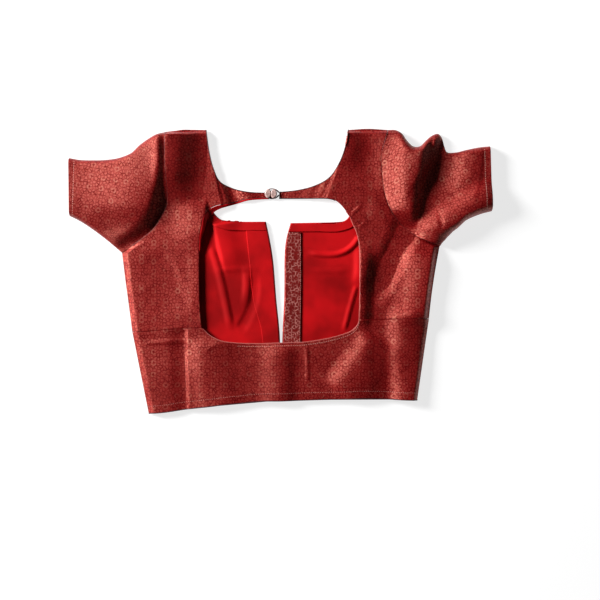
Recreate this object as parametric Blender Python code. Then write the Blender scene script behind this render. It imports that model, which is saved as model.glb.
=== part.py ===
"""Choli (saree) blouse, laid flat on its front with its back up.

The blouse lies on the XY plane: +X is the wearer's right, +Y runs from hem to shoulders, +Z is up.
Tables and sizes are in millimetres, measured from the centre line at the waist seam. The last step
moves the whole blouse so that its box is centred over the origin, in metres.

Every cloth piece is a wall with a top skin and an under skin. Layers from the surface up: the two
fronts, their linings, the facings and closing strips, and the back. The sleeves are flattened tubes.
"""

import math
from typing import NamedTuple

import bmesh
import bpy
from mathutils import Matrix, Vector

MM = 0.001

# Cloth and layers
CLOTH = 1.2                 # brocade wall
LINING_CLOTH = 1.1
STRIP_CLOTH = 1.0           # facings and closing strips
SEAM_GAP = 0.3              # between pieces that meet or lie on each other
LINING_LEVEL = CLOTH + SEAM_GAP
STRIP_LEVEL = LINING_LEVEL + LINING_CLOTH + SEAM_GAP
BACK_LEVEL = STRIP_LEVEL + STRIP_CLOTH + SEAM_GAP
BAND_LEVEL = 0.6            # the neck band sags almost to the surface between the straps
EDGE_FALL = 16.0            # width over which the back comes down to a side or shoulder seam
SEAM_LAP = 14.0             # how far the lining stops short of the side seams
LINING_INSET = 0.8          # how far it stops short of the opening and the neck edge
LINING_TRIMS = (0.1, 0.65)  # rows cut off at the hem and at the shoulder
FRONT_INSET = 1.0           # how far a front stops short of the back's outer edge

FOLD_FADE = 0.3             # share of a fold's length over which it fades out at each end
FACING_GAP = 0.4            # between the rolled facing and the window edge

# Fineness of the walls
STEPS_PER_ROW = 2
STRIP_STEPS = 4             # a closing strip's rows are long
BACK_COLUMNS = 9
WAIST_COLUMNS = 9
LINING_COLUMNS = 12
MERGE = 0.0001

# Sleeves
SLEEVE_SIDES = 24           # points round a sleeve
SLEEVE_EDGE = 3.6           # thickness of the folded edge
SLEEVE_LOFT = 15.0
SLEEVE_RISE = 26.0          # width over which a sleeve rises from its armhole seam
SLEEVE_LEAST = 3.4          # thickness where a fold presses the two layers together
LEFT_BOW_ROWS = 5.0         # rows over which the curve of the armhole straightens out
RIGHT_BOW_ROWS = 8.0
TOP_ROUNDING = 2.2          # powers of the rounded profile of a sleeve's two layers
UNDER_ROUNDING = 8.0

# Closure at the centre back
BUTTON_AT = (-12.0, 184.0)
BUTTON_LONG, BUTTON_WIDE = 17.0, 12.5
BUTTON_HEIGHT = 4.0
BUTTON_SIDES = 20
BUTTON_ROUNDING = 0.32      # of its top edge, as a share of its size
LOOP_CORD = 1.6
LOOP_AT = (-10.5, 184.0)
LOOP_LONG, LOOP_WIDE = 26.0, 16.0
LOOP_GAP_ANGLE = 14.0       # half the angle at which the loop's ends part on the right arm
LOOP_SIDES, LOOP_STEPS = 8, 24

MATERIALS = {
    "brocade": ((0.36, 0.05, 0.04), 0.45, 0.35),
    "lining": ((0.55, 0.01, 0.015), 0.55, 0.0),
    "pearl": ((0.78, 0.66, 0.62), 0.25, 0.0),
}


class Rib(NamedTuple):
    """One section of a panel, from its inner edge to its outer edge.

    corner says which edge turns sharply here: inner, outer or both.
    """

    edge: str
    inner_x: float
    inner_y: float
    outer_x: float
    outer_y: float
    corner: str = ""


class Fold(NamedTuple):
    """A soft ridge (height above 0) or trough (below 0) along a bent line of three points."""

    x1: float
    y1: float
    x2: float
    y2: float
    x3: float
    y3: float
    width: float
    height: float


# The back's ribs run from the edge of the window to the outer edge: side seam, armhole, shoulder
# seam, then neckline, and end at the centre back.
BACK_LEFT = [
    Rib("side", -109.0, -3.5, -206.5, -10.0, "both"),
    Rib("side", -111.5, 28.0, -211.5, 28.0),
    Rib("side", -112.5, 63.0, -216.5, 64.5),
    Rib("side", -112.5, 94.0, -221.0, 101.5, "outer"),
    Rib("armhole", -112.5, 112.0, -189.5, 123.0),
    Rib("armhole", -111.5, 127.5, -175.0, 136.0),
    Rib("armhole", -109.5, 137.0, -166.0, 150.5),
    Rib("armhole", -108.0, 145.5, -157.5, 169.5),
    Rib("armhole", -106.5, 151.0, -157.0, 197.5),
    Rib("armhole", -104.5, 154.5, -159.5, 231.0),
    Rib("shoulder", -102.0, 158.0, -159.0, 271.0, "outer"),
    Rib("shoulder", -98.5, 161.5, -131.0, 273.5),
    Rib("shoulder", -94.5, 164.5, -103.0, 273.5, "outer"),
    Rib("neck", -89.0, 167.0, -98.5, 242.0),
    Rib("neck", -82.5, 168.5, -92.5, 218.5),
    Rib("neck", -75.0, 169.5, -84.0, 201.0),
    Rib("band", -61.0, 173.0, -68.0, 192.0),
    Rib("band", -43.5, 177.0, -47.0, 186.5),
    Rib("band", -24.5, 178.0, -24.5, 185.0),
    Rib("band", -5.0, 178.0, -5.0, 185.5, "both"),
]
BACK_RIGHT = [
    Rib("side", 111.5, 7.5, 209.5, 9.0, "both"),
    Rib("side", 112.5, 38.0, 213.5, 43.5),
    Rib("side", 112.5, 70.0, 218.5, 77.0),
    Rib("side", 112.5, 98.0, 224.5, 110.5, "outer"),
    Rib("armhole", 111.5, 115.0, 194.5, 123.0),
    Rib("armhole", 110.0, 123.0, 181.5, 131.0),
    Rib("armhole", 108.0, 130.0, 167.5, 143.5),
    Rib("armhole", 105.0, 137.0, 155.5, 161.0),
    Rib("armhole", 102.0, 143.5, 147.5, 182.0),
    Rib("armhole", 99.5, 150.0, 143.5, 210.0),
    Rib("armhole", 96.5, 154.5, 142.5, 238.0),
    Rib("shoulder", 93.0, 159.5, 152.0, 273.5, "outer"),
    Rib("shoulder", 87.5, 166.5, 124.0, 275.0),
    Rib("shoulder", 81.0, 172.5, 96.5, 273.5, "outer"),
    Rib("neck", 75.0, 175.5, 92.5, 250.5),
    Rib("neck", 68.0, 177.0, 84.0, 227.0),
    Rib("neck", 56.5, 177.5, 69.5, 206.0),
    Rib("band", 44.0, 177.5, 48.5, 194.5),
    Rib("band", 24.5, 177.5, 24.5, 188.5),
    Rib("band", -0.5, 177.5, -0.5, 186.0, "both"),
]

# The lower back's ribs run from its top edge (waist seam and window) to the hem, left to right.
BACK_WAIST = [
    Rib("side", -206.5, -10.0, -183.5, -124.0, "both"),
    Rib("seam", -173.0, -7.8, -160.5, -122.0),
    Rib("seam", -135.0, -5.2, -129.5, -117.5),
    Rib("seam", -109.0, -3.5, -107.0, -115.0, "inner"),
    Rib("window", -98.0, -14.0, -94.5, -113.5),
    Rib("window", -82.0, -22.0, -79.0, -111.5),
    Rib("window", -62.5, -25.0, -59.5, -109.5),
    Rib("window", -30.0, -26.0, -27.5, -106.5),
    Rib("window", 2.0, -25.0, 3.5, -106.0),
    Rib("window", 33.5, -24.0, 34.5, -105.0),
    Rib("window", 66.0, -19.0, 66.5, -104.0),
    Rib("window", 90.5, -12.5, 90.5, -103.5),
    Rib("window", 101.5, -7.5, 101.5, -103.0),
    Rib("window", 109.0, 0.0, 110.0, -102.5),
    Rib("seam", 111.5, 7.5, 117.0, -102.5, "inner"),
    Rib("seam", 140.5, 7.9, 142.0, -103.0),
    Rib("seam", 174.5, 8.4, 174.5, -104.5),
    Rib("side", 209.5, 9.0, 193.0, -105.0, "both"),
]

# The fronts' ribs run from the opening and the front neck edge to the outer edge, hem to shoulder.
FRONT_LEFT = [
    Rib("hem", 1.0, -106.0, -183.0, -122.5, "both"),
    Rib("body", 0.5, -17.0, -205.5, -10.0),
    Rib("body", -4.5, 36.5, -216.5, 70.0),
    Rib("body", -9.0, 91.0, -220.5, 101.0, "outer"),
    Rib("body", -13.5, 119.0, -189.5, 123.0),
    Rib("body", -19.0, 145.0, -175.0, 136.0, "inner"),
    Rib("body", -55.5, 145.0, -166.0, 150.5),
    Rib("body", -80.0, 147.0, -157.5, 169.5),
    Rib("body", -90.5, 155.5, -157.0, 197.5),
    Rib("body", -101.5, 175.0, -159.0, 217.0),
    Rib("body", -106.5, 217.0, -160.0, 245.0),
    Rib("shoulder", -104.5, 271.5, -159.0, 270.0, "both"),
]
FRONT_RIGHT = [
    Rib("hem", 3.5, -105.5, 192.5, -104.5, "both"),
    Rib("body", 4.0, -17.0, 208.5, 8.5),
    Rib("body", 6.5, 36.5, 215.5, 56.0),
    Rib("body", 7.5, 105.0, 224.0, 110.0, "outer"),
    Rib("body", 10.0, 123.0, 194.5, 123.0),
    Rib("body", 15.5, 143.0, 181.5, 131.0, "inner"),
    Rib("body", 49.5, 143.5, 167.5, 143.5),
    Rib("body", 84.5, 144.0, 155.5, 161.0),
    Rib("body", 95.0, 149.0, 147.5, 182.0),
    Rib("body", 101.5, 164.0, 143.5, 210.0),
    Rib("body", 100.0, 210.0, 142.5, 238.0),
    Rib("shoulder", 98.0, 271.5, 151.0, 271.5, "both"),
]

# A sleeve's ribs run from its upper edge to its underarm edge, from the armhole to the hem.
SLEEVE_LEFT = [
    Rib("armhole", -159.0, 271.0, -221.0, 101.5, "both"),
    Rib("cap", -173.0, 266.5, -227.5, 107.0),
    Rib("cap", -184.0, 260.5, -234.0, 112.5),
    Rib("cap", -195.5, 252.0, -240.0, 117.5),
    Rib("cap", -206.5, 241.5, -247.0, 123.0),
    Rib("cap", -223.5, 234.5, -255.5, 129.5),
    Rib("body", -243.0, 231.5, -265.5, 136.5),
    Rib("body", -262.5, 231.0, -276.0, 143.5),
    Rib("body", -279.5, 231.5, -285.0, 148.5),
    Rib("hem", -294.5, 234.0, -293.5, 152.5, "both"),
]
SLEEVE_RIGHT = [
    Rib("armhole", 152.0, 273.5, 224.5, 110.5, "both"),
    Rib("cap", 163.0, 273.0, 228.0, 115.5),
    Rib("cap", 171.5, 268.0, 231.5, 119.0),
    Rib("cap", 178.5, 258.5, 234.5, 122.5),
    Rib("cap", 187.0, 250.5, 237.5, 125.5),
    Rib("cap", 196.5, 250.5, 240.0, 128.0),
    Rib("cap", 205.0, 258.5, 243.0, 131.0),
    Rib("cap", 213.5, 265.5, 245.5, 133.0),
    Rib("body", 222.0, 268.0, 248.5, 135.0),
    Rib("body", 227.0, 263.0, 251.5, 137.0),
    Rib("body", 226.5, 250.5, 254.0, 140.0),
    Rib("body", 234.5, 242.5, 257.0, 143.0),
    Rib("body", 247.0, 242.0, 261.0, 146.5),
    Rib("body", 262.0, 245.5, 268.0, 150.0),
    Rib("body", 279.5, 249.0, 282.0, 155.5),
    Rib("hem", 294.5, 250.5, 297.0, 159.5, "both"),
]

# Narrow strips: inner is the free or opening edge, outer the edge that is sewn to the lining.
NECK_FACING_LEFT = [
    Rib("opening", -20.2, 144.0, -17.6, 132.5, "both"),
    Rib("neck", -55.5, 144.0, -55.5, 132.3),
    Rib("neck", -79.0, 146.0, -78.0, 134.2),
    Rib("neck", -90.5, 154.0, -100.5, 144.5),
    Rib("under back", -97.5, 166.5, -110.0, 160.5, "both"),
]
NECK_FACING_RIGHT = [
    Rib("opening", 16.4, 142.0, 12.2, 130.5, "both"),
    Rib("neck", 49.5, 142.3, 49.5, 130.8),
    Rib("neck", 83.5, 142.8, 85.0, 131.2),
    Rib("neck", 94.5, 148.2, 104.5, 139.0),
    Rib("under back", 100.5, 158.5, 113.0, 152.0, "both"),
]
PLACKET_LEFT = [
    Rib("top", -17.4, 132.1, -47.0, 132.0, "both"),
    Rib("strip", -10.5, 91.0, -42.0, 85.0),
    Rib("strip", -6.0, 36.5, -37.0, 36.0),
    Rib("strip", -1.0, -17.0, -25.0, -12.0),
    Rib("hem", -0.5, -98.0, -23.0, -98.0, "both"),
]
PLACKET_RIGHT = [
    Rib("top", 12.1, 130.0, 30.5, 130.0, "both"),
    Rib("strip", 8.8, 105.0, 30.5, 105.0),
    Rib("strip", 7.8, 36.5, 30.5, 36.5),
    Rib("strip", 5.4, -17.0, 29.5, -17.0),
    Rib("hem", 5.0, -98.0, 29.0, -98.0, "both"),
]
# How far the window's facing rolls out: rows along the window edge of the left back, from its row
# number in BACK_LEFT, with the width that shows there.
ROLLED_FACING = [(3.5, 1.0), (5.5, 4.5), (8.0, 6.5), (11.0, 7.5), (13.5, 5.5), (15.0, 3.6), (18.5, 1.2)]

# Folds of the back and the sleeves, and folds of the linings.
BACK_FOLDS = [
    Fold(162.0, 142.0, 144.0, 75.0, 127.0, -5.0, 24.0, -1.1),
    Fold(195.0, 119.0, 193.0, 56.0, 186.0, -7.0, 36.0, 4.5),
    Fold(114.0, 136.0, 114.0, 63.0, 108.0, -10.0, 30.0, 4.5),
    Fold(138.0, -13.0, 115.0, -52.0, 76.0, -99.0, 30.0, 4.5),
    Fold(-112.0, 158.0, -113.0, 77.0, -112.0, 2.0, 30.0, 3.5),
    Fold(-188.0, 80.0, -188.0, 20.0, -180.0, -60.0, 26.0, 3.0),
    Fold(-6.0, -24.0, -6.0, -60.0, -6.0, -106.0, 32.0, 4.0),
    Fold(-104.0, -13.0, -100.0, -60.0, -93.0, -110.0, 36.0, 4.0),
    Fold(181.0, 14.0, 182.0, -35.0, 180.0, -105.0, 30.0, 4.0),
    Fold(155.0, 281.0, 153.0, 231.0, 146.0, 167.0, 34.0, 3.5),
    Fold(-176.0, 280.0, -174.0, 225.0, -172.0, 170.0, 48.0, 6.0),
]
LINING_FOLDS = [
    Fold(-97.0, 108.0, -84.0, 78.0, -66.0, -4.0, 15.0, 3.6),
    Fold(-58.0, 76.0, -54.0, 36.0, -70.0, -4.0, 12.0, 2.4),
    Fold(43.0, 101.0, 76.0, 101.0, 106.0, 116.0, 11.0, 3.4),
    Fold(108.0, 58.0, 100.0, 20.0, 91.0, -8.0, 8.0, 2.0),
]
SLEEVE_FOLDS = [
    Fold(222.0, 268.0, 203.0, 212.0, 178.0, 152.0, 22.0, -10.5),
    Fold(203.0, 150.0, 216.0, 140.0, 222.0, 128.0, 12.0, -4.0),
    Fold(-176.0, 250.0, -176.0, 205.0, -186.0, 150.0, 16.0, -3.5),
]


def blend(start: float, end: float, amount: float) -> float:
    """Mix two numbers; amount 0 gives the start and 1 the end."""
    return start + (end - start) * amount


def ease(amount: float) -> float:
    """Smooth step from 0 to 1, level at both ends."""
    amount = min(1.0, max(0.0, amount))
    return amount * amount * (3.0 - 2.0 * amount)


def catmull_rom(before, start, end, after, amount):
    """Point between start and end on a centripetal Catmull-Rom curve."""
    def knot(last, a, b):
        return last + max(math.dist(a, b), 1e-6) ** 0.5

    t0 = 0.0
    t1 = knot(t0, before, start)
    t2 = knot(t1, start, end)
    t3 = knot(t2, end, after)
    t = blend(t1, t2, amount)

    def mix(a, b, ta, tb):
        return tuple(((tb - t) * i + (t - ta) * j) / (tb - ta) for i, j in zip(a, b))

    a1, a2, a3 = mix(before, start, t0, t1), mix(start, end, t1, t2), mix(end, after, t2, t3)
    return mix(mix(a1, a2, t0, t2), mix(a2, a3, t1, t3), t1, t2)


def point_on(points, corners, place):
    """Point on the smooth curve through points; place counts rows, and corners break the curve."""
    row = min(int(place), len(points) - 2)
    start, end = points[row], points[row + 1]
    broken_before = row == 0 or corners[row]
    broken_after = row + 2 >= len(points) or corners[row + 1]
    before = tuple(2 * a - b for a, b in zip(start, end)) if broken_before else points[row - 1]
    after = tuple(2 * b - a for a, b in zip(start, end)) if broken_after else points[row + 2]
    return catmull_rom(before, start, end, after, place - row)


class Panel:
    """A table of ribs read as two smooth edges, with the place along them counted in rows."""

    def __init__(self, ribs):
        self.ribs = ribs
        self.inner = [(rib.inner_x, rib.inner_y) for rib in ribs]
        self.outer = [(rib.outer_x, rib.outer_y) for rib in ribs]
        self.inner_corners = [rib.corner in ("inner", "both") for rib in ribs]
        self.outer_corners = [rib.corner in ("outer", "both") for rib in ribs]
        self.rows = len(ribs) - 1

    def inner_edge(self, place):
        return point_on(self.inner, self.inner_corners, place)

    def outer_edge(self, place):
        return point_on(self.outer, self.outer_corners, place)

    def per_row(self, values, place):
        """Value between rows of a per-row quantity that the edge's name gives."""
        row = min(int(place), self.rows - 1)
        start, end = values[self.ribs[row].edge], values[self.ribs[row + 1].edge]
        return blend(start, end, ease(place - row))

    def point(self, place, across, inset_inner=0.0, inset_outer=0.0):
        """Point on the panel, its length from the outer edge and the rib's length."""
        x1, y1 = self.inner_edge(place)
        x2, y2 = self.outer_edge(place)
        length = math.dist((x1, y1), (x2, y2))
        at = blend(inset_inner, length - inset_outer, across)
        return x1 + (x2 - x1) * at / length, y1 + (y2 - y1) * at / length, length - at


def along_line(x, y, x1, y1, x2, y2):
    """Distance from a straight line's stretch and the place along it, 0 to 1."""
    dx, dy = x2 - x1, y2 - y1
    place = ((x - x1) * dx + (y - y1) * dy) / (dx * dx + dy * dy)
    held = min(1.0, max(0.0, place))
    return math.hypot(x - x1 - held * dx, y - y1 - held * dy), held


def relief(folds, x, y):
    """Height that the folds add at a point; each fades towards its two ends."""
    height = 0.0
    for fold in folds:
        near, place = along_line(x, y, fold.x1, fold.y1, fold.x2, fold.y2)
        near_2, place_2 = along_line(x, y, fold.x2, fold.y2, fold.x3, fold.y3)
        place = place / 2 if near <= near_2 else 0.5 + place_2 / 2
        near = min(near, near_2)
        if near < fold.width:
            fade = ease(min(place, 1 - place) / FOLD_FADE)
            height += fold.height * fade * (0.5 + 0.5 * math.cos(math.pi * near / fold.width))
    return height


def slab(columns, rows):
    """Unit slab: a grid from 0 to 1 across and along, extruded from layer 0 to layer 1."""
    mesh = bmesh.new()
    bmesh.ops.create_grid(mesh, x_segments=columns, y_segments=rows, size=0.5)
    bmesh.ops.translate(mesh, verts=mesh.verts, vec=(0.5, 0.5, 0.0))
    made = bmesh.ops.extrude_face_region(mesh, geom=mesh.faces[:], use_keep_orig=True)
    lifted = [item for item in made["geom"] if isinstance(item, bmesh.types.BMVert)]
    bmesh.ops.translate(mesh, verts=lifted, vec=(0.0, 0.0, 1.0))
    return mesh


def pipe(sides, stations):
    """Unit pipe along Z from 0 to 1, its wall's inner face at radius 1 and its outer face at radius 2."""
    mesh = bmesh.new()
    profile = [mesh.verts.new((2.0, 0.0, i / stations)) for i in range(stations + 1)]
    profile += [mesh.verts.new((1.0, 0.0, i / stations)) for i in range(stations, -1, -1)]
    edges = [mesh.edges.new((a, b)) for a, b in zip(profile, profile[1:] + profile[:1])]
    bmesh.ops.spin(mesh, geom=profile + edges, cent=(0, 0, 0), axis=(0, 0, 1), dvec=(0, 0, 0),
                   angle=2 * math.pi, steps=sides, use_merge=True, use_duplicate=False)
    return mesh


def material(kind):
    """Principled material of one of the blouse's cloths or its button."""
    made = bpy.data.materials.get(kind)
    if made is None:
        colour, roughness, metallic = MATERIALS[kind]
        made = bpy.data.materials.new(kind)
        made.use_nodes = True
        shader = made.node_tree.nodes["Principled BSDF"]
        shader.inputs["Base Color"].default_value = (*colour, 1.0)
        shader.inputs["Roughness"].default_value = roughness
        shader.inputs["Metallic"].default_value = metallic
    return made


def finish(name, mesh, kind):
    """Turn a bmesh in millimetres into a named object in metres, its faces pointing out."""
    bmesh.ops.remove_doubles(mesh, verts=mesh.verts, dist=MERGE)
    bmesh.ops.scale(mesh, vec=(MM, MM, MM), verts=mesh.verts)
    bmesh.ops.recalc_face_normals(mesh, faces=mesh.faces)
    data = bpy.data.meshes.new(name)
    mesh.to_mesh(data)
    mesh.free()
    data.materials.append(material(kind))
    piece = bpy.data.objects.new(name, data)
    bpy.context.collection.objects.link(piece)
    return piece


def cloth_wall(name, panel, columns, kind, thickness, underside, steps=STEPS_PER_ROW, insets=(0, 0),
               trims=(0.0, 0.0)):
    """Wall over a panel; underside(place, x, y, from_outer) gives the height of its under skin.

    insets cut back the inner and outer edge in millimetres, trims the first and last row in rows.
    """
    mesh = slab(columns, panel.rows * steps)
    for vert in mesh.verts:
        place = blend(trims[0], panel.rows - trims[1], vert.co.y)
        x, y, from_outer = panel.point(place, vert.co.x, *insets)
        vert.co = (x, y, underside(place, x, y, from_outer) + thickness * round(vert.co.z))
    return finish(name, mesh, kind)


# Height of the back's under skin at its inner and outer edge, by the kind of the outer edge.
INNER_LEVELS = {"side": BACK_LEVEL, "armhole": BACK_LEVEL, "shoulder": BACK_LEVEL, "neck": BACK_LEVEL,
                "band": BAND_LEVEL, "seam": BACK_LEVEL, "window": BACK_LEVEL}
OUTER_LEVELS = {"side": LINING_LEVEL, "armhole": BACK_LEVEL, "shoulder": LINING_LEVEL,
                "neck": BACK_LEVEL, "band": BAND_LEVEL}
# Share of the folds' height that stays at the outer edge.
OUTER_FREEDOM = {"side": 0.0, "armhole": 1.0, "shoulder": 0.0, "neck": 1.0, "band": 0.0}


def back_underside(panel):
    """Under skin of an upper back: level over the layers beneath, down at seams, with its folds."""
    def underside(place, x, y, from_outer):
        fall = 1.0 - ease(from_outer / EDGE_FALL)
        inner = panel.per_row(INNER_LEVELS, place)
        outer = panel.per_row(OUTER_LEVELS, place)
        freedom = blend(1.0, panel.per_row(OUTER_FREEDOM, place), fall)
        return blend(inner, outer, fall) + freedom * relief(BACK_FOLDS, x, y)
    return underside


def waist_underside(panel):
    """Under skin of the lower back: level, down at the two side seams, with its folds."""
    first, last = panel.ribs[0], panel.ribs[-1]

    def underside(place, x, y, from_outer):
        share = (y - first.outer_y) / (first.inner_y - first.outer_y)
        left = blend(first.outer_x, first.inner_x, share)
        right = blend(last.outer_x, last.inner_x, share)
        fall = 1.0 - ease(min(x - left, right - x) / EDGE_FALL)
        return blend(BACK_LEVEL + relief(BACK_FOLDS, x, y), LINING_LEVEL, fall)
    return underside


def lining_underside(level):
    """Under skin of the lining, or of a strip on it, which follows the lining's folds."""
    return lambda place, x, y, from_outer: level + relief(LINING_FOLDS, x, y)


def rolled_facing(back):
    """Facing that shows inside the window's upper left edge, along the edge of the left back."""
    ribs = []
    stations = round((ROLLED_FACING[-1][0] - ROLLED_FACING[0][0]) * STEPS_PER_ROW)
    for station in range(stations + 1):
        place = ROLLED_FACING[0][0] + station / STEPS_PER_ROW
        row = max(i for i, (at, _) in enumerate(ROLLED_FACING[:-1]) if at <= place)
        (start, width_1), (end, width_2) = ROLLED_FACING[row:row + 2]
        width = blend(width_1, width_2, ease((place - start) / (end - start)))
        x, y = back.inner_edge(place)
        x1, y1 = back.inner_edge(place - 0.5 / STEPS_PER_ROW)
        x2, y2 = back.inner_edge(place + 0.5 / STEPS_PER_ROW)
        length = math.dist((x1, y1), (x2, y2))
        right_x, right_y = (y2 - y1) / length, (x1 - x2) / length
        ribs.append(Rib("facing", x + right_x * (FACING_GAP + width), y + right_y * (FACING_GAP + width),
                        x + right_x * FACING_GAP, y + right_y * FACING_GAP))

    def underside(place, x, y, from_outer):
        return back.per_row(INNER_LEVELS, ROLLED_FACING[0][0] + place / STEPS_PER_ROW)
    return cloth_wall("window_facing_left", Panel(ribs), 1, "lining", STRIP_CLOTH, underside, steps=1)


def armhole_bow(back, chord, share):
    """How far the armhole seam lies from the straight line between its two ends."""
    first = next(i for i, rib in enumerate(back.ribs) if rib.corner == "outer")
    last = next(i for i, rib in enumerate(back.ribs) if rib.edge == "shoulder")
    x, y = back.outer_edge(blend(last, first, share))
    return x - blend(chord[0][0], chord[1][0], share), y - blend(chord[0][1], chord[1][1], share)


def sleeve(name, ribs, back, outward, bow_rows, steps):
    """Flattened tube from the armhole seam to an open hem, flat below and rounded above."""
    panel = Panel(ribs)
    chord = (panel.inner_edge(0.0), panel.outer_edge(0.0))

    def plan(place, share):
        x1, y1 = panel.inner_edge(place)
        x2, y2 = panel.outer_edge(place)
        bow = ease(1.0 - place / bow_rows) if place < bow_rows else 0.0
        dx, dy = armhole_bow(back, chord, share)
        return blend(x1, x2, share) + dx * bow + outward * SEAM_GAP, blend(y1, y2, share) + dy * bow

    def height(place, share, upper):
        dome = 1.0 - abs(2.0 * share - 1.0) ** (TOP_ROUNDING if upper else UNDER_ROUNDING)
        if not upper:
            return SLEEVE_EDGE / 2 * (1.0 - max(0.0, dome) ** (1.0 / UNDER_ROUNDING))
        x, y = plan(place, share)
        seam_x, seam_y = plan(0.0, share)
        rise = ease(math.dist((x, y), (seam_x, seam_y)) / SLEEVE_RISE)
        crest = blend(BACK_LEVEL + CLOTH + relief(BACK_FOLDS, x, y), SLEEVE_LOFT, rise)
        crest = max(SLEEVE_LEAST, crest + relief(SLEEVE_FOLDS, x, y))
        edge = SLEEVE_EDGE / 2
        return edge + (crest - edge) * max(0.0, dome) ** (1.0 / TOP_ROUNDING)

    def outer_ring(place):
        """Points (share along the rib, height) round the tube, upper layer first."""
        half = SLEEVE_SIDES // 2
        ring = []
        for side in range(SLEEVE_SIDES):
            upper = side <= half
            turn = math.pi * (side if upper else SLEEVE_SIDES - side) / half
            share = 0.5 - 0.5 * math.cos(turn)
            ring.append((share, height(place, share, upper)))
        return ring

    def ring_point(ring, length, side, depth):
        """Point of the ring, moved in by depth along the wall's own normal."""
        share, z = ring[side]
        before, after = ring[side - 1], ring[(side + 1) % SLEEVE_SIDES]
        run, rise = (after[0] - before[0]) * length, after[1] - before[1]
        size = math.hypot(run, rise)
        return share + rise / size * depth / length, z - run / size * depth

    rings = {}
    mesh = pipe(SLEEVE_SIDES, panel.rows * steps)
    for vert in mesh.verts:
        station = round(vert.co.z * panel.rows * steps)
        place = station / steps
        side = round(math.atan2(vert.co.y, vert.co.x) / (2 * math.pi) * SLEEVE_SIDES) % SLEEVE_SIDES
        on_outer_face = round(math.hypot(vert.co.x, vert.co.y)) == 2
        depth = 0.0 if on_outer_face else CLOTH
        if station not in rings:
            rings[station] = outer_ring(place)
        length = math.dist(plan(place, 0.0), plan(place, 1.0))
        share, z = ring_point(rings[station], length, side, depth)
        vert.co = (*plan(place, share), z)
    return finish(name, mesh, "brocade")


def button():
    """Oval pearl button with a domed top."""
    mesh = bmesh.new()
    bmesh.ops.create_cone(mesh, cap_ends=True, segments=BUTTON_SIDES, radius1=0.5, radius2=0.5, depth=1.0)
    rim = [edge for edge in mesh.edges if all(vert.co.z > 0 for vert in edge.verts)]
    bmesh.ops.bevel(mesh, geom=rim, offset=BUTTON_ROUNDING, segments=4, profile=0.5, affect="EDGES",
                    material=-1)
    bmesh.ops.scale(mesh, vec=(BUTTON_LONG, BUTTON_WIDE, BUTTON_HEIGHT), verts=mesh.verts)
    base = BAND_LEVEL + CLOTH + SEAM_GAP + BUTTON_HEIGHT / 2
    bmesh.ops.translate(mesh, vec=(*BUTTON_AT, base), verts=mesh.verts)
    return finish("button", mesh, "pearl")


def button_loop():
    """Cord loop that comes off the right arm of the band and lies round the button."""
    mesh = bmesh.new()
    made = bmesh.ops.create_circle(mesh, cap_ends=True, segments=LOOP_SIDES, radius=LOOP_CORD / 2)
    bmesh.ops.rotate(mesh, verts=made["verts"], cent=(0, 0, 0), matrix=Matrix.Rotation(math.pi / 2, 3, "X"))
    bmesh.ops.translate(mesh, verts=made["verts"], vec=(LOOP_WIDE / 2, 0, 0))
    gap = math.radians(LOOP_GAP_ANGLE)
    bmesh.ops.rotate(mesh, verts=made["verts"], cent=(0, 0, 0), matrix=Matrix.Rotation(gap, 3, "Z"))
    turned = bmesh.ops.spin(mesh, geom=mesh.faces[:], cent=(0, 0, 0), axis=(0, 0, 1), dvec=(0, 0, 0),
                            angle=2 * (math.pi - gap), steps=LOOP_STEPS, use_duplicate=False)
    bmesh.ops.scale(mesh, vec=(LOOP_LONG / LOOP_WIDE, 1.0, 1.0), verts=mesh.verts)
    base = BAND_LEVEL + CLOTH + SEAM_GAP + LOOP_CORD / 2
    bmesh.ops.translate(mesh, vec=(*LOOP_AT, base), verts=mesh.verts)
    return finish("button_loop", mesh, "brocade")


def centre_on_origin(pieces):
    """Move every mesh so that the whole blouse's box is centred over the origin, its foot at 0."""
    points = [vert.co for piece in pieces for vert in piece.data.vertices]
    shift = Vector((-(min(p.x for p in points) + max(p.x for p in points)) / 2,
                    -(min(p.y for p in points) + max(p.y for p in points)) / 2,
                    -min(p.z for p in points)))
    for piece in pieces:
        piece.data.transform(Matrix.Translation(shift))


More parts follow.
